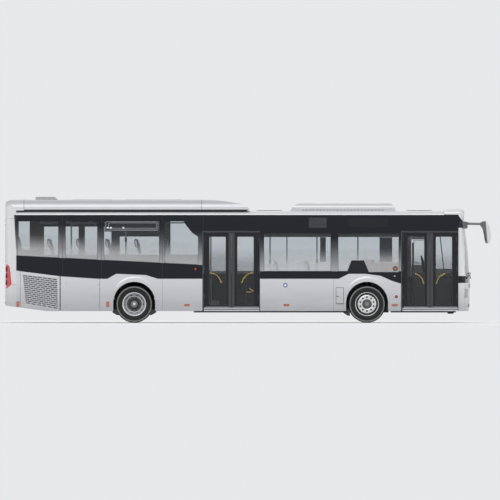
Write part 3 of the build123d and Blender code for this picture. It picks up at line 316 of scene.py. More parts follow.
# painted shade: a dark iron colour, also used for the front discs' groove and nuts and the rear wheels'
# wells, where the wheels lie in shade
well_iron = Mat("well_iron", (0.075, 0.075, 0.08), 0.42, 0.3).vary(0.15, 40.0)
nut_steel = Mat("nut_steel", (0.72, 0.72, 0.73), 0.18, 1.0).vary(0.1, 50.0)
dark_iron = Mat("dark_iron", (0.05, 0.05, 0.052), 0.5, 0.6)
dark_iron.vary(0.3, 20.0, (0.05, 0.05, 0.053))
dark_iron.grain(90.0, 4.0, 0.3, 0.001)
leaf_black = Mat("leaf_black", BLACK, 0.3, spec=0.25).vary(0.2, 25.0, (0.01, 0.011, 0.014))
plastic = Mat("black_plastic", (0.02, 0.02, 0.022), 0.42).vary(0.2, 30.0, (0.022, 0.022, 0.024))
plastic.grain(400.0, 2.0, 0.15, 0.0006)
chassis = Mat("chassis_paint", (0.03, 0.03, 0.032), 0.55).vary(0.4, 5.0, (0.035, 0.034, 0.034))
chassis.grain(40.0, 5.0, 0.3, 0.002)
aluminium = Mat("aluminium", (0.7, 0.71, 0.72), 0.32, 0.9)
aluminium.vary(0.08, 12.0, (0.68, 0.69, 0.7))
aluminium.bump(aluminium.noise(30.0, 3.0, (1, 20, 20)), 0.08, 0.0006)
floor_m = Mat("floor_vinyl", (0.16, 0.17, 0.19), 0.6)
floor_m.link(floor_m.ramp(floor_m.noise(220.0, 2.0),
                          [(0.42, (0.13, 0.14, 0.16)), (0.6, (0.25, 0.26, 0.28))]),
             "Base Color")
panel_m = Mat("interior_panel", (0.4, 0.42, 0.44), 0.55).vary(0.06, 6.0)
panel_m.grain(300.0, 2.0, 0.1, 0.0006)
# painted shade: near black, for the shade inside the bus seen through the windows
lining = Mat("dark_lining_painted_shade", (0.018, 0.02, 0.025), 0.6).vary(0.15, 12.0)
lining.grain(250.0, 2.0, 0.15, 0.0008)
yellow = Mat("yellow_rail", (0.88, 0.58, 0.05), 0.28, 0.0, 0.6).vary(0.07, 15.0)
seat_m = Mat("seat_fabric", (0.05, 0.08, 0.16), 0.9)
weave = seat_m.noise(700.0, 2.0)
seat_m.link(seat_m.mix(seat_m.over(seat_m.noise(38.0, 1.0), 0.56),
                       seat_m.ramp(weave, [(0.3, (0.075, 0.08, 0.095)), (0.7, (0.12, 0.125, 0.145))]),
                       (0.2, 0.215, 0.25)), "Base Color")
seat_m.bump(weave, 0.4, 0.001)
seat_m.set(Sheen_Weight=0.3)
shell_m = Mat("seat_shell", (0.16, 0.17, 0.18), 0.45).vary(0.08, 20.0)
lamp_red = Mat("lamp_red", (0.45, 0.012, 0.012), 0.12, 0.0, 1.0)
lamp_red.link(lamp_red.ramp(lamp_red.noise(120.0, 1.0),
                            [(0.35, (0.33, 0.008, 0.01)), (0.65, (0.62, 0.02, 0.02))]),
              "Base Color")
orange = Mat("marker_orange", (0.5, 0.12, 0.045), 0.25, 0.0, 0.6).vary(0.12, 80.0)
brown = Mat("reflector_red", (0.2, 0.028, 0.012), 0.25, 0.0, 0.8).vary(0.2, 80.0)
lamp_clear = glass("lamp_clear", (0.97, 0.975, 0.98), body=0.02, mirror=0.9)
chrome = Mat("reflector", (0.85, 0.86, 0.87), 0.08, 1.0).vary(0.05, 30.0)
white = Mat("white_paint", (0.75, 0.76, 0.77), 0.4).vary(0.03, 20.0)
blue = Mat("blue_mark", (0.02, 0.06, 0.26), 0.35, 0.0, 0.4).vary(0.1, 60.0)
rail_steel = Mat("rail_steel", (0.42, 0.43, 0.45), 0.28, 0.9).vary(0.08, 14.0)
frame_grey = Mat("frame_grey", (0.3, 0.31, 0.33), 0.35, 0.5).vary(0.08, 20.0)
band_trim = Mat("band_trim", (0.035, 0.037, 0.042), 0.35).vary(0.12, 20.0)
mirror_shell = Mat("mirror_shell", (0.3, 0.31, 0.325), 0.25, 0.3, 0.8)
# painted highlight: the head's forward side is light grey and the rest dark
ahead = mirror_shell.span(mirror_shell.add(mirror_shell.xyz(0),
                                           mirror_shell.mul(mirror_shell.xyz(2), 0.085)), 6.302, 6.327)
mirror_shell.link(mirror_shell.mix(ahead, (0.1, 0.105, 0.11), (0.62, 0.63, 0.645)), "Base Color")
mirror_m = Mat("mirror_face", (0.82, 0.84, 0.85), 0.03, 1.0).vary(0.02, 10.0)

cab_panel = Mat("cab_panel", (0.02, 0.022, 0.027), 0.5).vary(0.12, 9.0)
cab_panel.grain(300.0, 2.0, 0.12, 0.0006)
sill_m = Mat("sill_panel", (0.46, 0.455, 0.46), 0.55).vary(0.05, 7.0)
sill_m.grain(300.0, 2.0, 0.1, 0.0006)
print_grey = Mat("print_grey", (0.34, 0.335, 0.34), 0.14, 0.0, 0.3).vary(0.05, 12.0)
lamp_tray = Mat("lamp_tray", (0.58, 0.59, 0.61), 0.35, 0.3).vary(0.05, 30.0)
grille_m = Mat("grille_paint", (0.38, 0.39, 0.41), 0.38, 0.2, 0.3).vary(0.05, 6.0)

LEAVES = [f"{word}_door_{edge}_leaf" for word in ("mid", "front") for edge in ("rear", "fore")]
PAINT = (
    (silver, ["right_skirts", "left_skirts", "roof", "roof_fairing", "aircon_pod", "roof_vent",
              "grille_door",
              "service_door", "filler_flap"]),
    (band, ["right_window_wall", "left_window_wall"]), (mask, ["front_mask"]),
    (tail, ["rear_mask", "engine_door"]),
    (side_glass, ["right_windows", "left_windows"]), (screen_glass, ["windscreen"]),
    (rear_glass, ["rear_window"]),
    (door_glass, [leaf + "_glass" for leaf in LEAVES]), (leaf_black, LEAVES),
    (plastic, ["steering_wheel", "dashboard", "cabinets"]), (mirror_shell, ["mirrors"]),
    (floor_m, ["floor"]),
    (chassis, ["chassis_rails", "cross_members", "tow_block", "front_axle", "rear_axle", "tie_rod",
               "engine"]),
    (dark_iron, ["front_left_knuckle", "front_right_knuckle"]),
    (tyre_m, ["front_left_tyre", "front_right_tyre", "rear_left_tyres", "rear_right_tyres"]),
    (steel, ["front_left_rim", "front_right_rim", "rear_left_rims", "rear_right_rims"]),
    (cab_panel, ["cab_partition", "cab_door"]), (rail_steel, ["handrails"]),
    (shell_m, ["passenger_seats", "driver_seat"]), (lamp_red, ["tail_lamps"]), (lamp_clear, ["headlamps"]))
for material, names in PAINT:
    for n in names:
        if n in nodes:
            data = nodes[n].data
            data.materials.clear()
            data.materials.append(material.m)


# slot of a piece whose first material is one of these, unless its own call gives another
SLOTS = (("black_plastic", (rubber, band_trim, plastic, sign_glass, mirror_m)),
         ("silver_paint", (silver, white)),
         ("lamp_red", (orange, lamp_red)), ("interior_panel", (lining, sill_m, panel_m)),
         ("grey_rail", (rail_steel,)),
         ("axle_iron", (dark_iron, chassis, well_iron)))
SLOT_OF = {material: slot for slot, group in SLOTS for material in group}


# ---------------------------------------------------------------- making pieces
def put(name, data):
    """A new object in the scene."""
    ob = bpy.data.objects.new(name, data)
    bpy.context.scene.collection.objects.link(ob)
    return ob


def mesh_of(name, bm):
    """A mesh from a bmesh, which is used up."""
    me = bpy.data.meshes.new(name)
    bm.to_mesh(me)
    bm.free()
    return me


def piece(name, bm, material, body="body", slot=None, smooth=None, bevel=None):
    """A mesh object from a bmesh, riding on a body, with its bevel and smoothing angle; its slot is worked
    out but not kept.
    """
    bmesh.ops.recalc_face_normals(bm, faces=bm.faces)
    me = mesh_of(name, bm)
    ob = put(name, me)
    materials = material if isinstance(material, (list, tuple)) else [material]
    slot = slot or SLOT_OF.get(materials[0])
    for m in materials:
        me.materials.append(m.m)
    if bevel:
        b = ob.modifiers.new("bevel", "BEVEL")
        b.width, b.segments, b.limit_method, b.angle_limit = bevel, 2, "ANGLE", math.radians(35)
    if smooth:
        me.polygons.foreach_set("use_smooth", [True] * len(me.polygons))
        me.set_sharp_from_angle(angle=math.radians(smooth))
    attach(ob, body)
    return ob


def add_box(bm, lo, hi, mat=0):
    """A box between two corners."""
    lo, hi = [min(a, b) for a, b in zip(lo, hi)], [max(a, b) for a, b in zip(lo, hi)]
    vs = [bm.verts.new((x, y, z)) for x in (lo[0], hi[0]) for y in (lo[1], hi[1]) for z in (lo[2], hi[2])]
    for f in ((0, 1, 3, 2), (4, 6, 7, 5), (0, 4, 5, 1), (2, 3, 7, 6), (0, 2, 6, 4), (1, 5, 7, 3)):
        bm.faces.new([vs[i] for i in f]).material_index = mat


def skin(bm, rows, mat=0, loop=True, ring=True):
    """Quads between rows of points: ring closes each row, loop joins the last row to the first."""
    for a, b in zip(rows, rows[1:] + rows[:1] if loop else rows[1:]):
        n = len(a)
        for i in range(n if ring else n - 1):
            j = (i + 1) % n
            bm.faces.new((a[i], a[j], b[j], b[i])).material_index = mat


def add_prism(bm, points, y0, y1, mat=0, plane="xz"):
    """A flat outline given in a plane, run from y0 to y1 across it."""
    def place(u, v, w):
        return {"xz": (u, w, v), "yz": (w, u, v), "xy": (u, v, w)}[plane]
    a = [bm.verts.new(place(u, v, y0)) for u, v in points]
    b = [bm.verts.new(place(u, v, y1)) for u, v in points]
    faces = [bm.faces.new(a), bm.faces.new(b[::-1])]
    n = len(points)
    faces += [bm.faces.new((a[i], b[i], b[(i + 1) % n], a[(i + 1) % n])) for i in range(n)]
    for f in faces:
        f.material_index = mat


def rounded(x0, x1, z0, z1, r, n=5):
    """Corner points of a rectangle with rounded corners."""
    pts = []
    for cx, cz, a0 in ((x1 - r, z1 - r, 0), (x0 + r, z1 - r, 90), (x0 + r, z0 + r, 180),
                       (x1 - r, z0 + r, 270)):
        for k in range(n + 1):
            a = math.radians(a0 + 90 * k / n)
            pts.append((cx + r * math.cos(a), cz + r * math.sin(a)))
    return pts


def add_frame(bm, outer, inner, y0, y1, mat=0):
    """A flat ring between two outlines with the same number of points."""
    skin(bm, [[bm.verts.new((u, w, v)) for u, v in pts] for pts, w in
              ((outer, y0), (outer, y1), (inner, y1), (inner, y0))], mat)


def add_lathe(bm, profile, centre, axis=(0, 1, 0), segments=64, mat=0, wave=None, closed=None):
    """A profile of (along, radius) turned about an axis; open where it starts or ends on the axis."""
    if closed is None:
        closed = min(profile[0][1], profile[-1][1]) > 0
    axis = Vector(axis).normalized()
    u = axis.orthogonal().normalized()
    v = axis.cross(u)
    rings = []
    for k in range(segments):
        a = 2 * math.pi * k / segments
        d = u * math.cos(a) + v * math.sin(a)
        rings.append([bm.verts.new(Vector(centre) + axis * s + d * (r + (wave(k, i) if wave else 0)))
                      for i, (s, r) in enumerate(profile)])
    skin(bm, rings, mat, ring=closed)
    if not closed:
        for end in (0, -1):
            if profile[end][1] > 1e-6:
                bm.faces.new([r[end] for r in rings]).material_index = mat


def tube(name, points, radius, material, body="body"):
    """A round bar along a smooth line."""
    cu = bpy.data.curves.new(name, "CURVE")
    cu.dimensions, cu.bevel_depth, cu.bevel_resolution, cu.resolution_u = "3D", radius, 3, 4
    cu.use_fill_caps = True
    sp = cu.splines.new("NURBS")
    sp.points.add(len(points) - 1)
    for p, q in zip(sp.points, points):
        p.co = (*q, 1)
    sp.order_u, sp.use_endpoint_u = 3, True
    cu.materials.append(material.m)
    ob = put(name, cu)
    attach(ob, body)
    return ob


# ---------------------------------------------------------------- stage, lamps, camera
def stage():
    """Pale floor; far out it shows the backdrop's colour to camera, glass and mirror rays."""
    bm = bmesh.new()
    bmesh.ops.create_grid(bm, x_segments=16, y_segments=16, size=300)
    ob = put("stage_floor", mesh_of("stage_floor", bm))
    m = Mat("stage_floor", (0.8, 0.8, 0.8), 0.7)
    m.grain(3.0, 3.0, 0.02, 0.002)
    dist = m.node("VectorMath", i0=m.coords)
    dist.operation = "LENGTH"
    fade = m.span(dist.outputs["Value"], 9.0, 24.0)
    path = m.node("LightPath")
    plain = m.most(path.outputs["Is Camera Ray"], path.outputs["Is Transmission Ray"])
    seen = m.mul(fade, m.most(plain, path.outputs["Is Glossy Ray"]))
    glow = m.node("Emission", Color=(*BACKDROP, 1), Strength=1.0)
    mixer = m.node("MixShader", Fac=seen, i1=m.p.outputs[0], i2=glow.outputs[0])
    m.t.links.new(mixer.outputs[0], m.out.inputs[0])
    ob.data.materials.append(m.m)


BACKDROP = (0.8, 0.81, 0.82)
stage()

world = bpy.data.worlds.new("studio")
bpy.context.scene.world = world
world.use_nodes = True
w = Tree(world.node_tree)
bg = w.t.nodes["Background"]
height = w.node("SeparateXYZ", i0=w.node("TexCoord").outputs["Generated"]).outputs[2]
sky = w.ramp(height, [(0.0, (0.6, 0.61, 0.63)), (0.8, (1.0, 1.0, 1.0))])
w.t.links.new(sky, bg.inputs[0])
bg.inputs[1].default_value = 0.75
plain = w.node("Background", i0=(*BACKDROP, 1), i1=1.0)
path = w.node("LightPath")
either = path.outputs["Is Camera Ray"]
for ray in ("Is Transmission Ray", "Is Glossy Ray"):
    either = w.most(either, path.outputs[ray])
pick = w.node("MixShader", i0=either, i1=bg.outputs[0], i2=plain.outputs[0])
w.t.links.new(pick.outputs[0], w.t.nodes["World Output"].inputs[0])


def lamp(name, energy, place, angle):
    """A sun whose light comes from place and is aimed a metre over the ground."""
    data = bpy.data.lights.new(name, "SUN")
    data.energy = energy
    data.angle = math.radians(angle)
    ob = put(name, data)
    ob.location = place
    ob.rotation_euler = (Vector((0, 0, 1)) - Vector(place)).to_track_quat("-Z", "Y").to_euler()


lamp("key", 0.95, (-5, -18, 15), 40)
lamp("fill", 0.38, (10, 14, 12), 60)
lamp("ahead", 0.85, (18, -6, 6), 60)
lamp("behind", 0.45, (-18, -6, 6), 60)

# a long lens from far off, so that the side view has next to no perspective
CAMERA_Y = -551.263
cam = bpy.data.cameras.new("camera")
cam.lens, cam.sensor_width = 36 * 550 / 12.8, 36
cam_ob = put("camera", cam)
cam_ob.location = (0.059, CAMERA_Y, 1.864)
cam_ob.rotation_euler = (math.radians(90), 0, 0)
cam.clip_end = 1300
bpy.context.scene.camera = cam_ob
bpy.context.scene.view_settings.view_transform = "Standard"

# ---------------------------------------------------------------- wheels
def tyre_profile(mid):
    """Closed section of a tyre as (along, radius), about the plane at mid."""
    side_pts = [(0.104, 0.287), (0.112, 0.291), (0.118, 0.304), (0.128, 0.328), (0.1335, 0.35),
                (0.1345, 0.355),
                (0.1352, 0.36), (0.136, 0.385), (0.1355, 0.405), (0.1345, 0.419), (0.1378, 0.424),
                (0.138, 0.436), (0.13, 0.452), (0.126, 0.459), (0.12, 0.466), (0.108, 0.472)]
    tread = []
    for g in (0.066, 0.023, -0.023, -0.066):
        tread += [(g + 0.007, 0.4765), (g + 0.004, 0.464), (g - 0.004, 0.464), (g - 0.007, 0.4765)]
    pts = side_pts + tread + [(-a, r) for a, r in side_pts[::-1]]
    return [(mid + a, r) for a, r in pts]


def tyre_wave(count):
    """Pulls the shoulders in every third step, for the tread's side notches."""
    shoulder = {13, 14, 15, count - 14, count - 15, count - 16}
    return lambda k, i: -0.007 if i in shoulder and k % 3 == 0 else 0.0


def make_tyres(name, side, x, mids, body):
    """One or two tyres on a body, which take the place of its plain ones."""
    bm = bmesh.new()
    for mid in mids:
        prof = tyre_profile(mid)
        add_lathe(bm, prof, (x, 0, AXLE_Z), (0, side, 0), 96, wave=tyre_wave(len(prof)))
    ob = piece(name + "_rubber", bm, tyre_m, body, "tyre", smooth=28)
    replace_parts(ob, name)


def cut_holes(bm, x, side, y, count, circle, radius, stretch=1.0, turn=0.5):
    """Cuts a ring of holes through a lathed disc and gives the cut bmesh back."""
    def temp(b, name):
        bmesh.ops.recalc_face_normals(b, faces=b.faces)
        return put(name, mesh_of(name, b))
    cut = bmesh.new()
    for k in range(count):
        a = 2 * math.pi * (k + turn) / count
        pts = []
        for j in range(16):
            b = 2 * math.pi * j / 16
            u, v = radius * math.cos(b), radius * stretch * math.sin(b)
            pts.append((x + (circle + u) * math.cos(a) - v * math.sin(a),
                        AXLE_Z + (circle + u) * math.sin(a) + v * math.cos(a)))
        add_prism(cut, pts, side * (y - 0.08), side * (y + 0.08))
    disc, tool = temp(bm, "disc_tmp"), temp(cut, "cut_tmp")
    mod = disc.modifiers.new("cut", "BOOLEAN")
    mod.object, mod.operation, mod.solver = tool, "DIFFERENCE", "EXACT"
    dg = bpy.context.evaluated_depsgraph_get()
    out = bmesh.new()
    out.from_mesh(bpy.data.meshes.new_from_object(disc.evaluated_get(dg)))
    for ob in (disc, tool):
        bpy.data.objects.remove(ob)
    return out


def barrel(mid):
    """Closed section of a rim's barrel with its rolled flanges."""
    pts = [(0.11, 0.2865), (0.113, 0.297), (0.118, 0.303), (0.123, 0.303), (0.125, 0.299), (0.121, 0.291),
           (0.114, 0.281), (0.104, 0.272), (0.09, 0.268), (0.078, 0.262), (0.06, 0.257), (-0.06, 0.257),
           (-0.085, 0.264), (-0.104, 0.27), (-0.12, 0.29), (-0.123, 0.3), (-0.114, 0.298), (-0.109, 0.2865)]
    return [(mid + a, r) for a, r in pts]


def hex_nut(bm, centre, side, radius, height, mat):
    """A nut with the end of its stud."""
    pts = [(centre[0] + radius * math.cos(math.pi / 3 * k), centre[2] + radius * math.sin(math.pi / 3 * k))
           for k in range(6)]
    add_prism(bm, pts, centre[1], centre[1] + side * height, mat)
    add_lathe(bm, [(0, 0.0), (0, radius * 0.55), (height * 1.9, radius * 0.5), (height * 2, 0.0)], centre,
              (0, side, 0), 10, mat)


def nut_circle(bm, x, circle, y, side, count, turn, radius, height, mat):
    """Nuts on a circle about a wheel's axle line."""
    for k in range(count):
        a = 2 * math.pi * (k + turn) / count
        hex_nut(bm, (x + circle * math.cos(a), side * y, AXLE_Z + circle * math.sin(a)), side, radius,
                height, mat)


def wheel_piece(name, side, x, profile, segments, material, holes=None, smooth=30):
    """A lathed piece of a wheel, with a ring of holes where asked for."""
    bm = bmesh.new()
    add_lathe(bm, profile, (x, 0, AXLE_Z), (0, side, 0), segments)
    if holes:
        bm = cut_holes(bm, x, side, *holes)
    body = name.split("_rim")[0] + "_wheel"
    return piece(name, bm, material, body, "wheel_steel", smooth=smooth)


cap_grey = Mat("cap_grey", (0.2, 0.2, 0.205), 0.35, 0.5).vary(0.1, 60.0)
HUB_LOOKS = [well_iron, nut_steel, steel, cap_grey]


def front_rim(side, word):
    """Front wheel: barrel, domed disc, nut ring, nuts, hub and drum."""
    name, c = f"front_{word}_rim", (X_FA, 0, AXLE_Z)
    rim = wheel_piece(name + "_barrel", side, X_FA, barrel(WHEEL_Y), 96, front_steel, smooth=35)
    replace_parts(rim, name)
    # the disc's dark iron colour is painted shade in the groove round the nut ring
    wheel_piece(name + "_disc", side, X_FA, [
        (1.146, 0.2575), (1.158, 0.2585), (1.178, 0.252), (1.192, 0.236), (1.199, 0.219), (1.201, 0.2),
        (1.201, 0.118), (1.188, 0.118), (1.188, 0.2), (1.184, 0.216), (1.176, 0.23), (1.162, 0.243)],
        120, well_iron, (1.17, 10, 0.2475, 0.0085, 1.8))
    # polished ring over the nuts, with a hole for each
    wheel_piece(name + "_nut_ring", side, X_FA, [
        (1.2015, 0.2355), (1.208, 0.235), (1.2125, 0.231), (1.215, 0.224), (1.2155, 0.205), (1.2155, 0.13),
        (1.2135, 0.1235), (1.206, 0.121), (1.2055, 0.121), (1.2085, 0.125), (1.211, 0.132), (1.211, 0.222),
        (1.207, 0.229), (1.2015, 0.232)], 120, nut_steel, (1.21, 10, 0.178, 0.025))
    bm = bmesh.new()
    # the nuts take the dark iron colour: painted shade in the ring's holes
    nut_circle(bm, X_FA, 0.178, 1.2012, side, 10, 0.5, 0.0155, 0.004, 0)
    hub = [(1.186, 0.0), (1.186, 0.119), (1.203, 0.119), (1.206, 0.115), (1.207, 0.098), (1.2115, 0.094),
           (1.2135, 0.088), (1.2145, 0.064), (1.2145, 0.0)]
    add_lathe(bm, hub, c, (0, side, 0), 64)
    cap = [(1.2145, 0.0), (1.2145, 0.058), (1.218, 0.055), (1.22, 0.04), (1.2205, 0.0)]
    add_lathe(bm, cap, c, (0, side, 0), 32, 3)
    nut_circle(bm, X_FA, 0.08, 1.214, side, 8, 0, 0.0065, 0.003, 3)
    # drum and hub behind the disc
    drum = [(1.075, 0.0), (1.075, 0.1), (1.1, 0.11), (1.12, 0.15), (1.186, 0.15), (1.187, 0.0)]
    add_lathe(bm, drum, c, (0, side, 0), 48)
    piece(name + "_hub", bm, HUB_LOOKS, f"front_{word}_wheel", smooth=30)


def rear_rim(side, word):
    """Twin rear wheels: two barrels, dished outer disc, inner disc, nuts and hub."""
    name, body, c = f"rear_{word}_rims", f"rear_{word}_wheel", (X_RA, 0, AXLE_Z)
    bm = bmesh.new()
    for y in (WHEEL_Y, TWIN_Y):
        add_lathe(bm, barrel(y), c, (0, side, 0), 96)
    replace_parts(piece(name + "_barrels", bm, steel, body, "wheel_steel", smooth=35), name)
    wheel_piece(name + "_dish", side, X_RA, [
        (1.03, 0.2575), (1.012, 0.2575), (0.985, 0.25), (0.962, 0.234), (0.95, 0.222), (0.947, 0.212),
        (0.949, 0.19), (0.962, 0.19), (0.966, 0.193), (0.967, 0.212), (0.966, 0.22), (0.98, 0.232),
        (1.0, 0.243)], 120, steel, (0.975, 10, 0.235, 0.012, 2.0, 0.0))
    # the well in dark iron: painted shade inside the dish
    wheel_piece(name + "_well", side, X_RA, [(0.949, 0.191), (0.949, 0.118), (0.9605, 0.118),
                                             (0.9605, 0.191)],
                96, well_iron)
    wheel_piece(name + "_inner_disc", side, X_RA, [
        (0.88, 0.2575), (0.905, 0.235), (0.936, 0.215), (0.947, 0.205), (0.947, 0.118), (0.935, 0.118),
        (0.925, 0.205), (0.89, 0.232)], 64, steel)
    bm = bmesh.new()
    nut_circle(bm, X_RA, 0.1675, 0.96, side, 10, 0.5, 0.019, 0.022, 3)
    hub = [(0.7, 0.0), (0.7, 0.112), (0.962, 0.124), (0.97, 0.122), (0.985, 0.112), (1.06, 0.106),
           (1.08, 0.1), (1.098, 0.095), (1.1, 0.0)]
    add_lathe(bm, hub, c, (0, side, 0), 64)
    flange = [(1.1, 0.0), (1.1, 0.086), (1.106, 0.084), (1.108, 0.058), (1.12, 0.052), (1.125, 0.044),
              (1.127, 0.0)]
    add_lathe(bm, flange, c, (0, side, 0), 48, 3)
    add_lathe(bm, [(1.127, 0.0), (1.127, 0.034), (1.13, 0.03), (1.131, 0.0)], c, (0, side, 0), 32, 1)
    nut_circle(bm, X_RA, 0.071, 1.106, side, 8, 0, 0.0085, 0.006, 3)
    piece(name + "_hub", bm, HUB_LOOKS, body, smooth=30)


for side, word in ((-1, "right"), (1, "left")):
    make_tyres(f"front_{word}_tyre", side, X_FA, [WHEEL_Y], f"front_{word}_wheel")
    make_tyres(f"rear_{word}_tyres", side, X_RA, [TWIN_Y, WHEEL_Y], f"rear_{word}_wheel")
    front_rim(side, word)
    rear_rim(side, word)

# ---------------------------------------------------------------- body trim, both sides
# belt line between band and skirts: (station, height)
BELT = [(0.3, 1.34), (1.426, 1.198), (2.44, 1.13), (2.63, 1.13), (2.86, 1.257), (3.62, 1.225),
        (3.927, 1.13),
        (8.555, 1.13), (8.81, 1.257), (9.24, 1.257), (9.63, 1.206), (9.892, 1.088), (10.13, 1.009),
        (11.622, 1.009)]


def belt_at(s):
    """Height of the belt line at a station."""
    for (s0, z0), (s1, z1) in zip(BELT, BELT[1:]):
        if s0 <= s <= s1:
            return z0 + (z1 - z0) * (s - s0) / (s1 - s0)


def circle3(a, m, b):
    """Centre and radius of the circle through three points."""
    ax, ay, bx, by, cx, cy = *a, *m, *b
    d = 2 * (ax * (by - cy) + bx * (cy - ay) + cx * (ay - by))
    ux = ((ax**2 + ay**2) * (by - cy) + (bx**2 + by**2) * (cy - ay) + (cx**2 + cy**2) * (ay - by)) / d
    uy = ((ax**2 + ay**2) * (cx - bx) + (bx**2 + by**2) * (ax - cx) + (cx**2 + cy**2) * (bx - ax)) / d
    return ux, uy, math.hypot(ax - ux, ay - uy)


def arc3(a, m, b, n=8):
    """Points on the circle through three points, from a to b."""
    ux, uy, r = circle3(a, m, b)
    t0, tm, t1 = (math.atan2(p[1] - uy, p[0] - ux) for p in (a, m, b))
    full = (t1 - t0) % (2 * math.pi)
    if (tm - t0) % (2 * math.pi) > full:
        full -= 2 * math.pi
    return [(ux + r * math.cos(t0 + full * k / n),
             uy + r * math.sin(t0 + full * k / n)) for k in range(n + 1)]


def inset(points, d):
    """A flat outline moved in by d (out where d is negative)."""
    n = len(points)
    area = sum(p[0] * q[1] - q[0] * p[1] for p, q in zip(points, points[1:] + points[:1]))
    turn = 1 if area > 0 else -1
    out = []
    for i in range(n):
        p, q, r = (Vector(points[j % n]) for j in (i - 1, i, i + 1))
        e, f = (q - p).normalized(), (r - q).normalized()
        ne, nf = Vector((-e.y, e.x)) * turn, Vector((-f.y, f.x)) * turn
        out.append(tuple(q + (ne + nf) * d / (1 + ne.dot(nf))))
    return out


def add_ribbon(bm, pts, x0, x1, out=0.0015, deep=0.003, mat=0):
    """A strip along a line across the bus, given as (y, z) points from left to right over the top."""
    rows = []
    for i, p in enumerate(pts):
        d = (Vector(pts[min(i + 1, len(pts) - 1)]) - Vector(pts[max(i - 1, 0)])).normalized()
        o = Vector((d.y, -d.x))
        hi, lo = Vector(p) + o * out, Vector(p) - o * deep
        rows.append([bm.verts.new((x, q.x, q.y)) for x, q in ((x0, hi), (x1, hi), (x1, lo), (x0, lo))])
    skin(bm, rows, mat, loop=False)
    for end in (rows[0], rows[-1]):
        bm.faces.new(end).material_index = mat


def side_box(bm, side, s0, s1, d0, d1, z0, z1, mat=0):
    """A box on a side wall between two stations; d is measured outwards from the wall's face."""
    add_box(bm, (at(s0), side * (WALL_Y + d0), z0), (at(s1), side * (WALL_Y + d1), z1), mat)


def wall_lathe(bm, side, s, z, profile, segments, mat=0):
    """A turned piece on a side wall; its profile is (distance out from the wall's face, radius)."""
    add_lathe(bm, [(WALL_Y + d, r) for d, r in profile], (at(s), 0, z), (0, side, 0), segments, mat)


def side_prism(bm, side, points, d0, d1, mat=0):
    """An outline of (station, height) on a side wall, run between two distances from its face."""
    add_prism(bm, [(at(s), z) for s, z in points], side * (WALL_Y + d0), side * (WALL_Y + d1), mat)


def side_frame(bm, side, outer, inner, d0, d1):
    """A ring between two outlines of (station, height) on a side wall."""
    add_frame(bm, [(at(s), z) for s, z in outer], [(at(s), z) for s, z in inner],
              side * (WALL_Y + d0), side * (WALL_Y + d1))


def fairing_line(low):
    """The rear fairing's outline across the bus, as (y, z) from left to right."""
    up = [(WALL_Y, low), (WALL_Y, 2.966)]
    up += arc3((WALL_Y, 2.966), (1.201, 3.084), (1.053, 3.144), 10)[1:]
    over = arc3((1.053, 3.144), (0.0, 3.156), (-1.053, 3.144), 16)[1:-1]
    return up + over + [(-y, z) for y, z in up[::-1]]


# wheel arches: height of their centre, radius of the housings, centre of the flares, foot of the skirts,
# and the bead along the edge
ARCH_Z, HOUSING_R, FLARE_Z, SKIRT_Z = 0.513, 0.552, 0.558, 0.306
BEAD_R, BEAD_Y, BEAD_THICK = 0.5415, 1.2695, 0.005
# stations of the doorways
DOORS = {"mid": (5.095, 6.528), "front": (10.18, 11.606)}
rear_high = [[(0.33, 1.7185), (1.38, 1.666), (1.38, 2.605), (0.33, 2.605)],
             [(1.56, 1.657), (2.378, 1.616), (2.378, 2.605), (1.56, 2.605)],
             [(2.545, 1.6076), (3.978, 1.536), (3.978, 2.605), (2.545, 2.605)],
             [(4.095, 1.53), (4.96, 1.4868), (4.96, 2.205), (4.81, 2.305), (4.66, 2.49), (4.59, 2.605),
              (4.095, 2.605)]]


def rect4(s0, s1, z0, z1):
    """A rectangle's four corners."""
    return [(s0, z0), (s1, z0), (s1, z1), (s0, z1)]


# lower and upper edge of the plain windows
SILL_Z, HEAD_Z = 1.32, 2.29
right_panes = rear_high + [rect4(6.64, 8.36, SILL_Z, HEAD_Z), rect4(8.54, 10.11, SILL_Z, HEAD_Z)]
left_panes = [rect4(s0, s1, 1.543, top) for s0, s1, top in (
    (0.33, 0.625, 2.605), (0.983, 1.88, 2.47), (2.033, 2.724, 2.47), (2.929, 3.95, 2.215),
    (4.234, 5.0, 2.605))]
left_panes += [rect4(*w, SILL_Z, HEAD_Z) for w in ((5.155, 6.468), (6.64, 8.36), (8.54, 10.11))]
left_panes.append(rect4(10.27, 11.546, 1.19, HEAD_Z))

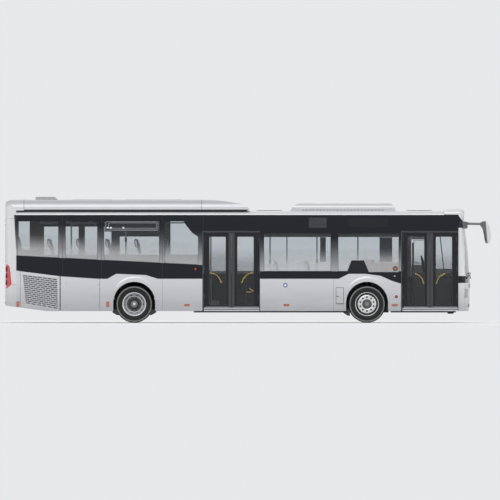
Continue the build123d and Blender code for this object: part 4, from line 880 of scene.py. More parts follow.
for side, word, panes in ((-1, "right", right_panes), (1, "left", left_panes)):
    # rubber round each pane, and the joints between the band's glass panels
    bm = bmesh.new()
    for pts in panes:
        side_frame(bm, side, pts, inset(pts, 0.0055), -0.022, -0.0008)
    joints = (1.487, 2.48, 4.042, 5.085) if side < 0 else (0.8, 1.955, 2.83, 4.09, 5.08, 6.555, 8.45, 10.19)
    for s in joints:
        side_box(bm, side, s - 0.003, s + 0.003, 0.0002, 0.0012, belt_at(s), RAIL_Z)
    piece(f"{word}_glass_seals", bm, rubber)
    # belt moulding between band and skirts, and dark backing behind the panel gaps
    bm = bmesh.new()
    for (sa, _), (sb, _) in zip(BELT, BELT[1:]):
        cuts = [c for d in DOORS.values() for c in d] if side < 0 else []
        edges = sorted([sa, sb] + [c for c in cuts if sa < c < sb])
        for p, q in zip(edges, edges[1:]):
            mid = (p + q) / 2
            if side < 0 and any(d[0] <= mid <= d[1] for d in DOORS.values()):
                continue
            side_prism(bm, side, [(p, belt_at(p) - 0.004), (q, belt_at(q) - 0.004), (q, belt_at(q) + 0.003),
                                  (p, belt_at(p) + 0.003)], -0.03, 0.0008)
    for s in (4.042, 8.42):
        side_box(bm, side, s - 0.01, s + 0.014, -0.062, -0.052, 0.3, belt_at(s) - 0.02)
    piece(f"{word}_belt_rubber", bm, rubber)
    # painted shadow: a dark strip in the slot under the rear fairing, where the overhang's shade falls
    bm = bmesh.new()
    add_prism(bm, [(at(0.5), 2.8), (at(6.1), 2.8), (at(6.2), 2.87), (at(6.24), 2.899), (at(0.5), 2.899)],
              side * 1.205, side * 1.16)
    piece(f"{word}_fairing_shadow_strip", bm, rubber)
    # wheel housings: an inner shell round each wheel
    bm = bmesh.new()
    for x, y_in in ((X_RA, 0.565), (X_FA, 0.475)):
        ring = [(x - HOUSING_R * math.cos(math.pi * k / 24),
                 ARCH_Z + HOUSING_R * math.sin(math.pi * k / 24))
                for k in range(25)]
        ring = [(x - HOUSING_R, 0.33)] + ring + [(x + HOUSING_R, 0.33)]
        inner = [(x + (u - x) * 0.982, ARCH_Z + (v - ARCH_Z) * 0.982 if v > 0.5 else v) for u, v in ring]
        rows = [[bm.verts.new((u, side * w, v)) for u, v in pts] for pts, w in
                ((ring, y_in), (ring, 1.206), (inner, 1.206), (inner, y_in))]
        skin(bm, rows, ring=False)
        for i in (0, -1):
            bm.faces.new([row[i] for row in rows])
    piece(f"{word}_wheel_housings", bm, plastic, smooth=30)
    # mud flaps, and plates that close the wheel wells towards the middle
    bm = bmesh.new()
    for tip, top, low in ((8.843, 8.663, 0.174), (3.722, 3.876, 0.19), (2.918, 2.764, 0.19)):
        add_prism(bm, [(at(top), 0.345), (at(tip), 0.345), (at(tip), low),
                       (at(tip) + (at(top) - at(tip)) * 0.35, low + 0.012),
                       (at(top), 0.262)], side * 0.93, side * 1.205)
    piece(f"{word}_mud_flaps", bm, rubber, bevel=0.004)
    bm = bmesh.new()
    for x, y in ((X_RA, 0.56), (X_FA, 0.575)):
        for dx in (-1, 1):
            add_box(bm, (x + dx * 0.385, side * (y - 0.006), 0.262),
                    (x + dx * 0.556, side * (y + 0.006), 0.6))
    piece(f"{word}_well_plates", bm, plastic, bevel=0.003)
    # soft bulge along the outer edge of each arch flare, and a bead on the arch's edge
    bm = bmesh.new()
    for x in (X_RA, X_FA):
        foot, knee = SKIRT_Z - FLARE_Z, 0.43 - FLARE_Z
        path = [(0.0, foot), (0.0, knee)] + [(math.pi * k / 40, 0.0) for k in range(41)] + [(math.pi, knee),
            (math.pi, foot)]
        rows = []
        for a, drop in path:
            wide = 0.062 - 0.04 * min(1.0, max(0.0, (a - 1.95) / 0.7))
            row = []
            for k in range(9):
                t = k / 8
                r = 0.578 + wide * t
                proud = 0.0122 - 0.0132 * (3 * t * t - 2 * t**3)
                row.append(bm.verts.new((x + r * math.cos(a), side * (WALL_Y + proud),
                                         FLARE_Z + r * math.sin(a) + drop)))
            rows.append(row)
        skin(bm, rows, loop=False, ring=False)
        bead = [(math.pi * k / 48, 0.0) for k in range(49)]
        bead = [(0.0, SKIRT_Z - ARCH_Z)] + bead + [(math.pi, SKIRT_Z - ARCH_Z)]
        rows = []
        for a, drop in bead:
            rows.append([])
            for b in [2 * math.pi * j / 10 for j in range(10)]:
                r = BEAD_R + BEAD_THICK * math.cos(b)
                rows[-1].append(bm.verts.new((x + r * math.cos(a),
                                              side * (BEAD_Y + BEAD_THICK * math.sin(b)),
                                              ARCH_Z + r * math.sin(a) + drop)))
        skin(bm, rows, loop=False)
        for end in (rows[0], rows[-1]):
            bm.faces.new(end)
    piece(f"{word}_arch_flares", bm, silver, smooth=60)

# fairing joints
bm = bmesh.new()
for s in (0.495, 5.046):
    add_ribbon(bm, fairing_line(2.902), at(s) - 0.004, at(s) + 0.005, 0.001, 0.004)
piece("fairing_joints", bm, rubber, smooth=30)

# ---------------------------------------------------------------- side markers, latches, signs
bm = bmesh.new()
for side in (-1, 1):
    for s, z in ((0.343, 0.481), (2.643, 0.473)):
        add_prism(bm, [(at(u), v) for u, v in rounded(s - 0.03, s + 0.03, z - 0.061, z + 0.061, 0.012, 3)],
                  side * WALL_Y, side * (WALL_Y + 0.009))
    for s in (4.67, 7.217, 9.99):
        add_prism(bm, [(at(u), v) for u, v in rounded(s - 0.064, s + 0.064, 0.432, 0.474, 0.012, 3)],
                  side * WALL_Y, side * (WALL_Y + 0.009))
    wall_lathe(bm, side, 10.03, 0.668, [(0, 0.0), (0, 0.046), (0.01, 0.042), (0.0125, 0.0)], 24, 1)
piece("side_markers", bm, [orange, brown], smooth=35)
bm = bmesh.new()
for side in (-1, 1):
    for s in (4.67, 7.217, 9.99):
        side_frame(bm, side, rounded(s - 0.07, s + 0.07, 0.426, 0.48, 0.014, 3),
                   rounded(s - 0.064, s + 0.064, 0.432, 0.474, 0.012, 3), 0.0, 0.006)
    for s, z in ((0.343, 0.481), (2.643, 0.473)):
        side_frame(bm, side, rounded(s - 0.036, s + 0.036, z - 0.067, z + 0.067, 0.014, 3),
                   rounded(s - 0.03, s + 0.03, z - 0.061, z + 0.061, 0.012, 3), 0.0, 0.006)
    wall_lathe(bm, side, 10.03, 0.668, [(0, 0.046), (0, 0.054), (0.007, 0.053), (0.007, 0.046)], 24, 1)
piece("marker_rims", bm, [rubber, white])


def latch(name, spots, body):
    """Round quarter-turn locks on the door side, a dark cup with a bright slotted core."""
    bm = bmesh.new()
    for s, z in spots:
        wall_lathe(bm, -1, s, z, [(-0.003, 0.0), (-0.003, 0.012), (0.0015, 0.011), (0.0015, 0.008),
                       (-0.001, 0.007), (-0.001, 0.0)], 16)
        add_box(bm, (at(s) - 0.005, -(WALL_Y - 0.001), z - 0.0012),
                (at(s) + 0.005, -(WALL_Y + 0.001), z + 0.0012), 1)
    piece(name, bm, [rubber, nut_steel], body, smooth=35)


latch("rear_corner_latches", [(0.394, 1.224), (0.36, 0.62)], "body")
latch("service_door_latches", [(1.572, 1.019), (1.585, 0.404), (2.4, 0.98), (2.41, 0.48)], "service_door")
latch("grille_door_latches", [(0.455, 0.52), (1.385, 1.14)], "grille_door")
bm = bmesh.new()
side_prism(bm, -1, rounded(8.5, 8.556, 0.666, 0.684, 0.006, 3), 0.0, 0.0025)
add_box(bm, (at(8.502), -WALL_Y, 0.489), (at(8.668), -(WALL_Y + 0.0012), 0.497))
piece("filler_flap_handle", bm, rubber, "filler_flap")
bm = bmesh.new()
side_frame(bm, -1, rounded(8.486, 8.686, 0.476, 0.905, 0.01, 3),
           rounded(8.493, 8.679, 0.483, 0.898, 0.006, 3), -0.004, 0.0008)
piece("filler_flap_seal", bm, band_trim)

# plain ring mark, and the outside buttons by the two doors
bm = bmesh.new()
wall_lathe(bm, -1, 7.188, 0.963, [(0, 0.03), (0, 0.056), (0.0012, 0.056), (0.0012, 0.03)], 40)
wall_lathe(bm, -1, 7.188, 0.963, [(0, 0.0), (0, 0.03), (0.001, 0.03), (0.001, 0.0)], 32, 1)
piece("ring_mark", bm, [blue, white], slot="black_plastic")
bm = bmesh.new()
wall_lathe(bm, -1, 10.004, 1.3875, [(-0.001, 0.0), (-0.001, 0.064), (0.006, 0.062), (0.01, 0.054),
               (0.006, 0.04), (0.006, 0.0)], 40)
wall_lathe(bm, -1, 10.004, 1.3875, [(0.006, 0.0), (0.006, 0.034), (0.011, 0.031), (0.013, 0.0)], 32, 1)
wall_lathe(bm, -1, 4.887, 1.377, [(-0.001, 0.0), (-0.001, 0.026), (0.006, 0.024), (0.008, 0.0)], 28, 2)
side_prism(bm, -1, [(9.958, 1.205), (10.02, 1.205), (9.989, 1.18)], 0.0, 0.002, 3)
piece("outside_buttons", bm, [plastic, orange, lamp_red, white], smooth=35)

# blank destination displays behind the band
bm = bmesh.new()
for s0, s1, z0, z1, m in ((7.793, 8.245, 2.432, 2.69, 0), (8.815, 9.82, 2.45, 2.67, 1)):
    side_prism(bm, -1, rounded(s0, s1, z0, z1, 0.012, 3), 0.0002, 0.0022, m)
piece("side_displays", bm, [sign_glass, sign_dark])

# sliding vent in the upper part of the third window, and the driver's sliding window on the left
for side, word, spans in ((-1, "right", [(2.585, 3.937, 2.358, 2.594)]),
                          (1, "left", [(10.42, 11.03, 1.47, 2.15)])):
    bm = bmesh.new()
    for s0, s1, z0, z1 in spans:
        side_frame(bm, side, rounded(s0, s1, z0, z1, 0.03, 4),
                   rounded(s0 + 0.012, s1 - 0.012, z0 + 0.012, z1 - 0.012, 0.02, 4),
                   -0.008, 0.003)
        side_frame(bm, side, rounded(s0 + 0.072, s1 - 0.035, z0 + 0.035, z1 - 0.03, 0.03, 4),
                   rounded(s0 + 0.084, s1 - 0.047, z0 + 0.047, z1 - 0.042, 0.02, 4), -0.008, 0.004)
        side_box(bm, side, s0 + 0.075, s1 - 0.04, -0.004, 0.0055, z0 + 0.062, z0 + 0.07)
        for h in (0.03, 0.11, 0.43):
            side_prism(bm, side, rounded(s0 + h, s0 + h + 0.05, z0 + 0.055, z0 + 0.095, 0.012, 3), 0.0,
                       0.008, 1)
    piece(f"{word}_hopper_frames", bm, [frame_grey, white], slot="door_frame", smooth=30)

# ---------------------------------------------------------------- grille door
def slot_sheet(bm, side, quad, rows, pitch, slot_len, slot_high, d0, d1):
    """A pressed sheet with staggered slots; quad is its top left, top right, low right and low left."""
    tl, tr, br, bl = quad

    def spot(u, v):
        top = (tl[0] + (tr[0] - tl[0]) * u, tl[1] + (tr[1] - tl[1]) * u)
        low = (bl[0] + (br[0] - bl[0]) * u, bl[1] + (br[1] - bl[1]) * u)
        return (low[0] + (top[0] - low[0]) * v, low[1] + (top[1] - low[1]) * v)
    for r in range(rows):
        v0, v1 = r / rows, (r + 1) / rows
        s_left, s_right = spot(0, (v0 + v1) / 2)[0], spot(1, (v0 + v1) / 2)[0]
        run = s_right - s_left
        count = max(1, round(run / pitch))
        edges = [k / count for k in range(count + 1)]
        if r % 2:
            edges = [0] + [(k + 0.5) / count for k in range(count)] + [1]
        high = (spot(0.5, v1)[1] - spot(0.5, v0)[1])
        for a, b in zip(edges, edges[1:]):
            share = slot_len / run / 2 * min(1.0, (b - a) * count)
            m, hv = (a + b) / 2, slot_high / high / 2 * (v1 - v0)
            mv = (v0 + v1) / 2
            hole = [(m - share, mv), (m - share * 0.86, mv - hv), (m + share * 0.86, mv - hv),
                    (m + share, mv),
                    (m + share * 0.86, mv + hv), (m - share * 0.86, mv + hv)]
            rim = [(a, mv), (a, v0), (b, v0), (b, mv), (b, v1), (a, v1)]
            o0, o1 = ([bm.verts.new((at(spot(*p)[0]), side * (WALL_Y + d),
                                     spot(*p)[1])) for p in rim] for d in (d0, d1))
            h0, h1 = ([bm.verts.new((at(spot(*p)[0]), side * (WALL_Y + d),
                                     spot(*p)[1])) for p in hole] for d in (d0, d1 - 0.003))
            for i in range(6):
                j = (i + 1) % 6
                for f in ((o0[i], o0[j], h0[j], h0[i]), (o1[i], o1[j], h1[j], h1[i]),
                          (h0[i], h0[j], h1[j], h1[i])):
                    bm.faces.new(f)


GRILLE = [(0.463, 1.234), (1.347, 1.129), (1.367, 0.343), (0.54, 0.491)]
bm = bmesh.new()
outer = [(0.408, 1.318), (1.412, 1.192), (1.412, 0.3), (1.085, 0.3), (0.408, 0.39)]
inner = GRILLE[:3] + [(1.085, 0.3935), GRILLE[3]]
side_frame(bm, -1, outer, inner, -0.055, 0.0)
door = piece("grille_door_skin", bm, silver, "grille_door", bevel=0.003)
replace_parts(door, "grille_door")
bm = bmesh.new()
slot_sheet(bm, -1, GRILLE, 15, 0.128, 0.104, 0.021, -0.01, -0.003)
piece("grille_door_slots", bm, grille_m, "grille_door", "silver_paint")
bm = bmesh.new()
side_prism(bm, -1, inset(GRILLE, 0.004), -0.045, -0.03)
for k in range(1, 8):
    u = k / 8
    top = (GRILLE[0][0] + (GRILLE[1][0] - GRILLE[0][0]) * u,
           GRILLE[0][1] + (GRILLE[1][1] - GRILLE[0][1]) * u)
    low = (GRILLE[3][0] + (GRILLE[2][0] - GRILLE[3][0]) * u,
           GRILLE[3][1] + (GRILLE[2][1] - GRILLE[3][1]) * u)
    side_prism(bm, -1, [(low[0] - 0.004, low[1] + 0.01), (low[0] + 0.004, low[1] + 0.01),
                        (top[0] + 0.004, top[1] - 0.01),
                        (top[0] - 0.004, top[1] - 0.01)], -0.031, -0.012)
piece("grille_door_backing", bm, plastic, "grille_door")

# ---------------------------------------------------------------- doorways and leaves
# width of a leaf's frame beside its glass
LEAF_EDGE = 0.138
for word, (s0, s1) in DOORS.items():
    bm = bmesh.new()
    side_frame(bm, -1, [(s0 - 0.03, 0.3), (s0 - 0.03, 2.35), (s1 + 0.012, 2.35), (s1 + 0.012, 0.3)],
               [(s0 - 0.001, 0.301), (s0 - 0.001, 2.316), (s1 + 0.001, 2.316), (s1 + 0.001, 0.301)], 0.0004,
               0.0035)
    piece(f"{word}_doorway_trim", bm, band_trim, slot="door_frame", bevel=0.0012)
    bm = bmesh.new()
    side_box(bm, -1, s0 + 0.01, s1 - 0.01, -0.002, 0.004, 0.301, 0.321)
    side_box(bm, -1, s0 + 0.01, s1 - 0.01, -0.002, 0.003, 0.366, 0.3795)
    side_box(bm, -1, s0 + 0.01, s1 - 0.01, -0.25, -0.002, 0.3802, 0.3832)
    for k in range(9):
        side_box(bm, -1, s0 + 0.02, s1 - 0.02, -0.235 + 0.025 * k, -0.229 + 0.025 * k, 0.383, 0.3848)
    piece(f"{word}_threshold", bm, aluminium, slot="grey_rail", bevel=0.001)
    # header rubber and door-operator cover inside
    bm = bmesh.new()
    side_box(bm, -1, s0 + 0.02, s1 - 0.02, -0.3, -0.075, 2.345, 2.56)
    piece(f"{word}_door_gear_cover", bm, panel_m, bevel=0.02, smooth=30)
    middle = (s0 + s1) / 2
    for edge, a, b in (("rear", s0 + 0.008, middle - 0.006), ("fore", middle + 0.006, s1 - 0.008)):
        body = f"{word}_door_{edge}_leaf"
        w0, w1, z0, z1 = a + LEAF_EDGE, b - LEAF_EDGE, 0.454, 2.207
        sign = 1 if edge == "rear" else -1
        hinge, meet = (a, b) if edge == "rear" else (b, a)
        # glass rubber, finger guard at the meeting edge, brush seal below
        bm = bmesh.new()
        for d0, d1 in ((-0.0085, -0.0015), (-0.0465, -0.04)):
            side_frame(bm, -1, rounded(w0 - 0.012, w1 + 0.012, z0 - 0.012, z1 + 0.012, 0.035, 5),
                       rounded(w0 + 0.006, w1 - 0.006, z0 + 0.006, z1 - 0.006, 0.028, 5), d0, d1)
        piece(f"{body}_glass_rubber", bm, rubber, body, smooth=30)
        bm = bmesh.new()
        lo, hi = sorted((meet - sign * 0.002, meet - sign * 0.072))
        for d0, d1 in ((-0.0042, 0.001), (-0.05, -0.0438)):
            side_prism(bm, -1, rect4(lo, hi, 0.4, 2.3), d0, d1)
        lo, hi = sorted((meet - sign * 0.004, meet + sign * 0.005))
        side_prism(bm, -1, rect4(lo, hi, 0.402, 2.298), -0.03, -0.012)
        piece(f"{body}_finger_guard", bm, band_trim, body, bevel=0.002)
        bm = bmesh.new()
        side_box(bm, -1, a + 0.03, b - 0.01, -0.0045, 0.0006, 0.398, 0.412)
        side_box(bm, -1, a + 0.03, b - 0.01, -0.04, -0.01, 0.3875, 0.3925)
        piece(f"{body}_brush_seal", bm, [frame_grey], body, "black_plastic")
        # yellow grab rail inside the leaf
        y = WALL_Y - 0.048
        arc = arc3((hinge + sign * 0.175, 1.278), (hinge + sign * 0.3, 1.235), (hinge + sign * 0.44, 1.045),
                   6)
        if word == "front":
            arc = arc3((meet - sign * 0.36, 1.255), (meet - sign * 0.26, 1.2), (meet - sign * 0.16, 1.02),
                       6)
        pts = [(at(arc[0][0]), -y, arc[0][1])] + [(at(u), -(y - 0.045), v) for u,
                                                  v in arc] + [(at(arc[-1][0]), -y, arc[-1][1])]
        tube(f"{body}_grab_rail", pts, 0.0125, yellow, body)
        bm = bmesh.new()
        for u, v in (arc[0], arc[-1]):
            add_lathe(bm, [(y - 0.012, 0.0), (y - 0.012, 0.018), (y + 0.003, 0.021), (y + 0.003, 0.0)],
                      (at(u), 0, v), (0, -1, 0), 16)
        if (word, edge) == ("mid", "fore"):
            add_box(bm, (at(w0 + 0.24), -(y - 0.005), 0.78), (at(w0 + 0.36), -(y + 0.002), 0.8))
        piece(f"{body}_rail_feet", bm, yellow, body, smooth=35)
        # pivot bearings at the hinge edge
        bm = bmesh.new()
        for z in (0.62, 1.35, 2.1):
            add_lathe(bm, [(0, 0.0), (0, 0.0225), (0.09, 0.0225), (0.09, 0.0)],
                      (at(hinge + sign * 0.02), -1.239, z), (0, 0, 1), 20)
        piece(f"{body}_hinge_sleeves", bm, dark_iron, body, smooth=35)
tube("mid_door_small_handle", [(at(6.262), -(WALL_Y - 0.052), 0.891), (at(6.3), -(WALL_Y - 0.085), 0.85),
                               (at(6.392), -(WALL_Y - 0.052), 0.799)], 0.011, yellow, "mid_door_fore_leaf")

# ---------------------------------------------------------------- front and rear faces
# height, setback of the nose and bow of the front face
NOSE_X, NOSE_Y = 5.705, 1.088
FRONT = [(0.28, 0.03, 0.1), (1.09, 0.0, 0.12), (1.87, 0.054, 0.09), (2.4, 0.122, 0.055),
         (2.6, 0.16, 0.045), (2.948, 0.134, 0.04)]


def front_x(y, z):
    """X of the front face's surface at a width and a height."""
    lo, hi = next(((p, q) for p, q in zip(FRONT, FRONT[1:]) if z < q[0]), FRONT[-2:])
    t = (z - lo[0]) / (hi[0] - lo[0])
    back, bow = [lo[i] + t * (hi[i] - lo[i]) for i in (1, 2)]
    nose, y = NOSE_X - back, abs(y)
    if y <= NOSE_Y:
        return nose - bow * (y / NOSE_Y) ** 2
    ex, sx = nose - bow, at(11.622) + 0.014
    cx, cy, r = circle3((sx, WALL_Y), (sx + 0.71 * (ex - sx), WALL_Y - 0.0525), (ex, NOSE_Y))
    return cx + math.sqrt(max(0.0, r * r - (y - cy) ** 2))


# where the rear face turns into its round corners, and their radius
TAIL_Y, TAIL_R = 1.053, 0.21


def rear_x(y, z):
    """X of the rear face's surface at a width; z is there so that it's called like front_x."""
    y = abs(y)
    if y <= TAIL_Y:
        return X_REAR + 0.03 * (y / TAIL_Y) ** 2
    return X_REAR + 0.24 - math.sqrt(max(0.0, TAIL_R**2 - (y - TAIL_Y) ** 2))


def face_ring(bm, face, out, outer, inner, d0, d1):
    """A ring between two outlines of (y, z), laid on an end face between two distances from it."""
    skin(bm, [[bm.verts.new((face(y, z) + out * d, y, z)) for y, z in pts] for pts, d in
              ((outer, d0), (outer, d1), (inner, d1), (inner, d0))])


def face_slab(bm, face, out, y0, y1, z0, z1, d0, d1, mat=0, ny=10, nz=2):
    """A slab that follows an end face between two widths and two heights."""
    def grid(d):
        return [[bm.verts.new((face(y, z) + out * d, y,
                               z)) for y in [y0 + (y1 - y0) * i / ny for i in range(ny + 1)]]
                for z in [z0 + (z1 - z0) * j / nz for j in range(nz + 1)]]
    a, b = grid(d0), grid(d1)
    for g in (a, b):
        for j in range(nz):
            for i in range(ny):
                bm.faces.new((g[j][i], g[j][i + 1], g[j + 1][i + 1], g[j + 1][i])).material_index = mat
    rim = [(0, i) for i in range(ny)] + [(j, ny) for j in range(nz)] + [(nz, ny - i) for i in range(ny)]
    rim += [(nz - j, 0) for j in range(nz)]
    for (j, i), (q, p) in zip(rim, rim[1:] + rim[:1]):
        bm.faces.new((a[j][i], a[q][p], b[q][p], b[j][i])).material_index = mat


def loop_yz(half, z0, z1, r):
    """A rounded rectangle about the middle, with points along its top and bottom."""
    pts, steps = rounded(-half, half, z0, z1, r, 6), 12
    out = []
    for i, (y, z) in enumerate(pts):
        q = pts[(i + 1) % len(pts)]
        out.append((y, z))
        if abs(q[0] - y) > 0.4:
            out += [(y + (q[0] - y) * k / steps, z + (q[1] - z) * k / steps) for k in range(1, steps)]
    return out


# seam round each rear corner below the roof cap
bm = bmesh.new()
for side in (-1, 1):
    ys = [TAIL_Y + TAIL_R * math.sin(math.radians(4.5 * k)) for k in range(20)]
    path = [(rear_x(y, 2.67), y) for y in ys] + [(at(0.248), WALL_Y)]
    outer, inner = [], []
    for i, p in enumerate(path):
        d = (Vector(path[min(i + 1, len(path) - 1)]) - Vector(path[max(i - 1, 0)])).normalized()
        o = Vector((-d.y, d.x))
        outer.append(Vector(p) + o * 0.0008)
        inner.append(Vector(p) - o * 0.003)
    rows = [[bm.verts.new((q.x, side * q.y, z)) for q,
             z in ((a, 2.669), (a, 2.6745), (b, 2.6745), (b, 2.669))]
            for a, b in zip(outer, inner)]
    skin(bm, rows, loop=False)
    for end in (rows[0], rows[-1]):
        bm.faces.new(end)
piece("rear_corner_seams", bm, rubber)

# front: windscreen rubber, blank sign, grille bars, lower intake, blank plate panel, fog lamps, brow lamps
bm = bmesh.new()
face_ring(bm, front_x, 1, loop_yz(1.13, 1.21, 2.44, 0.12), loop_yz(1.106, 1.234, 2.416, 0.1), -0.012,
          0.0015)
piece("windscreen_rubber", bm, rubber, smooth=30)
bm = bmesh.new()
face_slab(bm, front_x, 1, -0.98, 0.98, 2.475, 2.665, 0.0004, 0.003, ny=16)
piece("front_display", bm, sign_glass, smooth=30)
bm = bmesh.new()
for z in (0.905, 0.94, 0.975):
    face_slab(bm, front_x, 1, -0.62, 0.62, z, z + 0.018, 0.0, 0.01, ny=14, nz=1)
face_slab(bm, front_x, 1, -0.6, 0.6, 0.4, 0.485, 0.0005, 0.004, 0, 14, 1)
for k in range(3):
    face_slab(bm, front_x, 1, -0.6, 0.6, 0.412 + 0.026 * k, 0.42 + 0.026 * k, 0.004, 0.012, 0, 14, 1)
piece("front_grilles", bm, plastic, smooth=30, bevel=0.002)
bm = bmesh.new()
face_slab(bm, front_x, 1, -0.26, 0.26, 0.535, 0.645, 0.001, 0.008, 0, 8, 1)
piece("front_plate_panel", bm, white, bevel=0.002)
bm = bmesh.new()
for side in (-1, 1):
    for y in (side * (0.78 + 0.84) / 2, side * (0.88 + 0.94) / 2):
        c = (front_x(y, 0.442), y, 0.442)
        add_lathe(bm, [(0.001, 0.0), (0.001, 0.036), (0.006, 0.036), (0.007, 0.028), (0.005, 0.0)], c,
                  (1, 0, 0), 24)
piece("front_fog_lamps", bm, chrome, slot="lamp_clear", smooth=35)
bm = bmesh.new()
for side in (-1, 1):
    c = (front_x(0.95, 2.72) - 0.002, side * 0.95, 2.715)
    add_lathe(bm, [(0.0, 0.0), (0.0, 0.03), (0.003, 0.026), (0.004, 0.0)], c, (1, 0, 0), 20, 0)
piece("brow_lamps", bm, orange, smooth=40)

# headlamp insides: a dark tray, two bright bowls and an orange corner lamp each
HEADLAMP_Z = 0.75
bm = bmesh.new()
for side in (-1, 1):
    a, b = sorted((side * 0.646, side * 1.174))
    back = front_x(side * 1.12, HEADLAMP_Z) - 0.14
    add_box(bm, (back - 0.02, a, 0.646), (back, b, 0.854))
    for z0, z1 in ((0.643, 0.649), (0.851, 0.857)):
        add_prism(bm, [(back, a), (back, b)] + [(front_x(y, HEADLAMP_Z) - 0.052, y) for y in
                  [b + (a - b) * k / 8 for k in range(9)]], z0, z1, 0, "xy")
    for y, r, m in ((0.735, 0.072, 1), (0.905, 0.084, 1), (1.055, 0.052, 2)):
        mouth = front_x(side * (y + r * 0.7), HEADLAMP_Z) - 0.058
        c = (mouth, side * y, HEADLAMP_Z)
        prof = [(0.0, r), (-0.012, r * 0.97), (-0.035, r * 0.8), (-0.055, r * 0.45), (-0.058, 0.0),
                (-0.064, 0.0),
                (-0.062, r * 0.5), (-0.042, r * 0.86), (-0.012, r * 1.03), (0.0, r * 1.04)]
        add_lathe(bm, prof, c, (1, 0, 0), 36, m, closed=False)
        add_lathe(bm, [(-0.058, 0.0), (-0.058, r * 0.2), (-0.03, r * 0.22), (-0.024, 0.0)], c, (1, 0, 0),
                  20, 3 if m == 1 else 2)
        add_lathe(bm, [(0.0, r * 1.04), (-0.006, r * 1.13), (-0.012, r * 1.13), (-0.012, r * 1.04)], c,
                  (1, 0, 0), 36, 0)
piece("headlamp_insides", bm, [lamp_tray, chrome, orange, white], slot="lamp_clear", smooth=40)

# wipers
PIVOT_Z = 1.15
for k, (pivot, tip) in enumerate(((-0.98, -0.14), (0.06, 0.9))):
    mid = (pivot + tip) / 2
    tube(f"wiper_arm_{k + 1}", [(front_x(pivot, PIVOT_Z) + 0.004, pivot, PIVOT_Z),
                                (front_x(pivot, 1.16) + 0.022, pivot, 1.16),
                                (front_x(mid, 1.22) + 0.028, mid, 1.215),
                                (front_x(tip, 1.27) + 0.026, tip - 0.1, 1.268)],
         0.01, plastic)
    bm = bmesh.new()
    a, b = tip - 0.52, tip + 0.26
    pts = [a + (b - a) * i / 10 for i in range(11)]
    lo = [(y, 1.262 + 0.02 * i / 10) for i, y in enumerate(pts)]
    rows = [[bm.verts.new((front_x(y, z + dz) + d, y, z + dz)) for y, z in lo] for d, dz in
            ((0.003, 0.0), (0.003, 0.004), (0.014, 0.014), (0.02, 0.01), (0.02, -0.004), (0.014, -0.006))]
    skin(bm, rows, ring=False)
    for i in (0, -1):
        bm.faces.new([row[i] for row in rows])
    add_lathe(bm, [(0.0, 0.0), (0.0, 0.026), (0.018, 0.024), (0.022, 0.0)],
              (front_x(pivot, PIVOT_Z), pivot, PIVOT_Z), (1, 0, 0), 20)
    piece(f"wiper_blade_{k + 1}", bm, rubber, smooth=30)

# rear: window rubber, bumper line, blank plate panel, engine door louvres, high lamp, lamp rings
bm = bmesh.new()
face_ring(bm, rear_x, -1, loop_yz(0.86, 1.56, 2.52, 0.09), loop_yz(0.842, 1.578, 2.502, 0.075), -0.012,
          0.0015)
face_slab(bm, rear_x, -1, -1.05, 1.05, 0.5, 0.522, -0.002, 0.006, 0, 16, 1)
piece("rear_rubbers", bm, rubber, smooth=30)
bm = bmesh.new()
face_slab(bm, rear_x, -1, -0.26, 0.26, 0.64, 0.75, 0.001, 0.004, 0, 8, 1)
piece("rear_plate_panel", bm, white, "engine_door", bevel=0.002)
bm = bmesh.new()
for j in range(9):
    for side in (-1, 1):
        z = 0.9 + 0.036 * j
        a, b = sorted((side * 0.08, side * 0.74))
        face_slab(bm, rear_x, -1, a, b, z, z + 0.012, 0.0003, 0.0015, 0, 6, 1)
        face_slab(bm, rear_x, -1, a, b, z + 0.012, z + 0.02, 0.0, 0.004, 1, 6, 1)
piece("engine_door_louvres", bm, [rubber, tail], "engine_door", "silver_paint")
bm = bmesh.new()
face_slab(bm, rear_x, -1, -0.22, 0.22, 2.6, 2.64, 0.0005, 0.005, 0, 6, 1)
piece("high_brake_lamp", bm, lamp_red, bevel=0.003)
bm = bmesh.new()
for side in (-1, 1):
    for z, r, m in ((1.375, 0.062, 0), (1.205, 0.062, 1), (1.035, 0.062, 2)):
        y = side * 1.105
        c = (rear_x(y, z) + 0.006, y, z)
        add_lathe(bm, [(-0.004, r + 0.01), (0.012, r + 0.01), (0.014, r + 0.004), (0.012, r), (-0.004, r)],
                  c, (-1, 0, 0.0), 32, 3)
        add_lathe(bm, [(0.0, 0.0), (0.0, r), (0.009, r * 0.96), (0.014, r * 0.5), (0.015, 0.0)], c,
                  (-1, 0, 0), 32, m)
piece("tail_lamp_rings", bm, [orange, lamp_red, white, plastic], smooth=40)

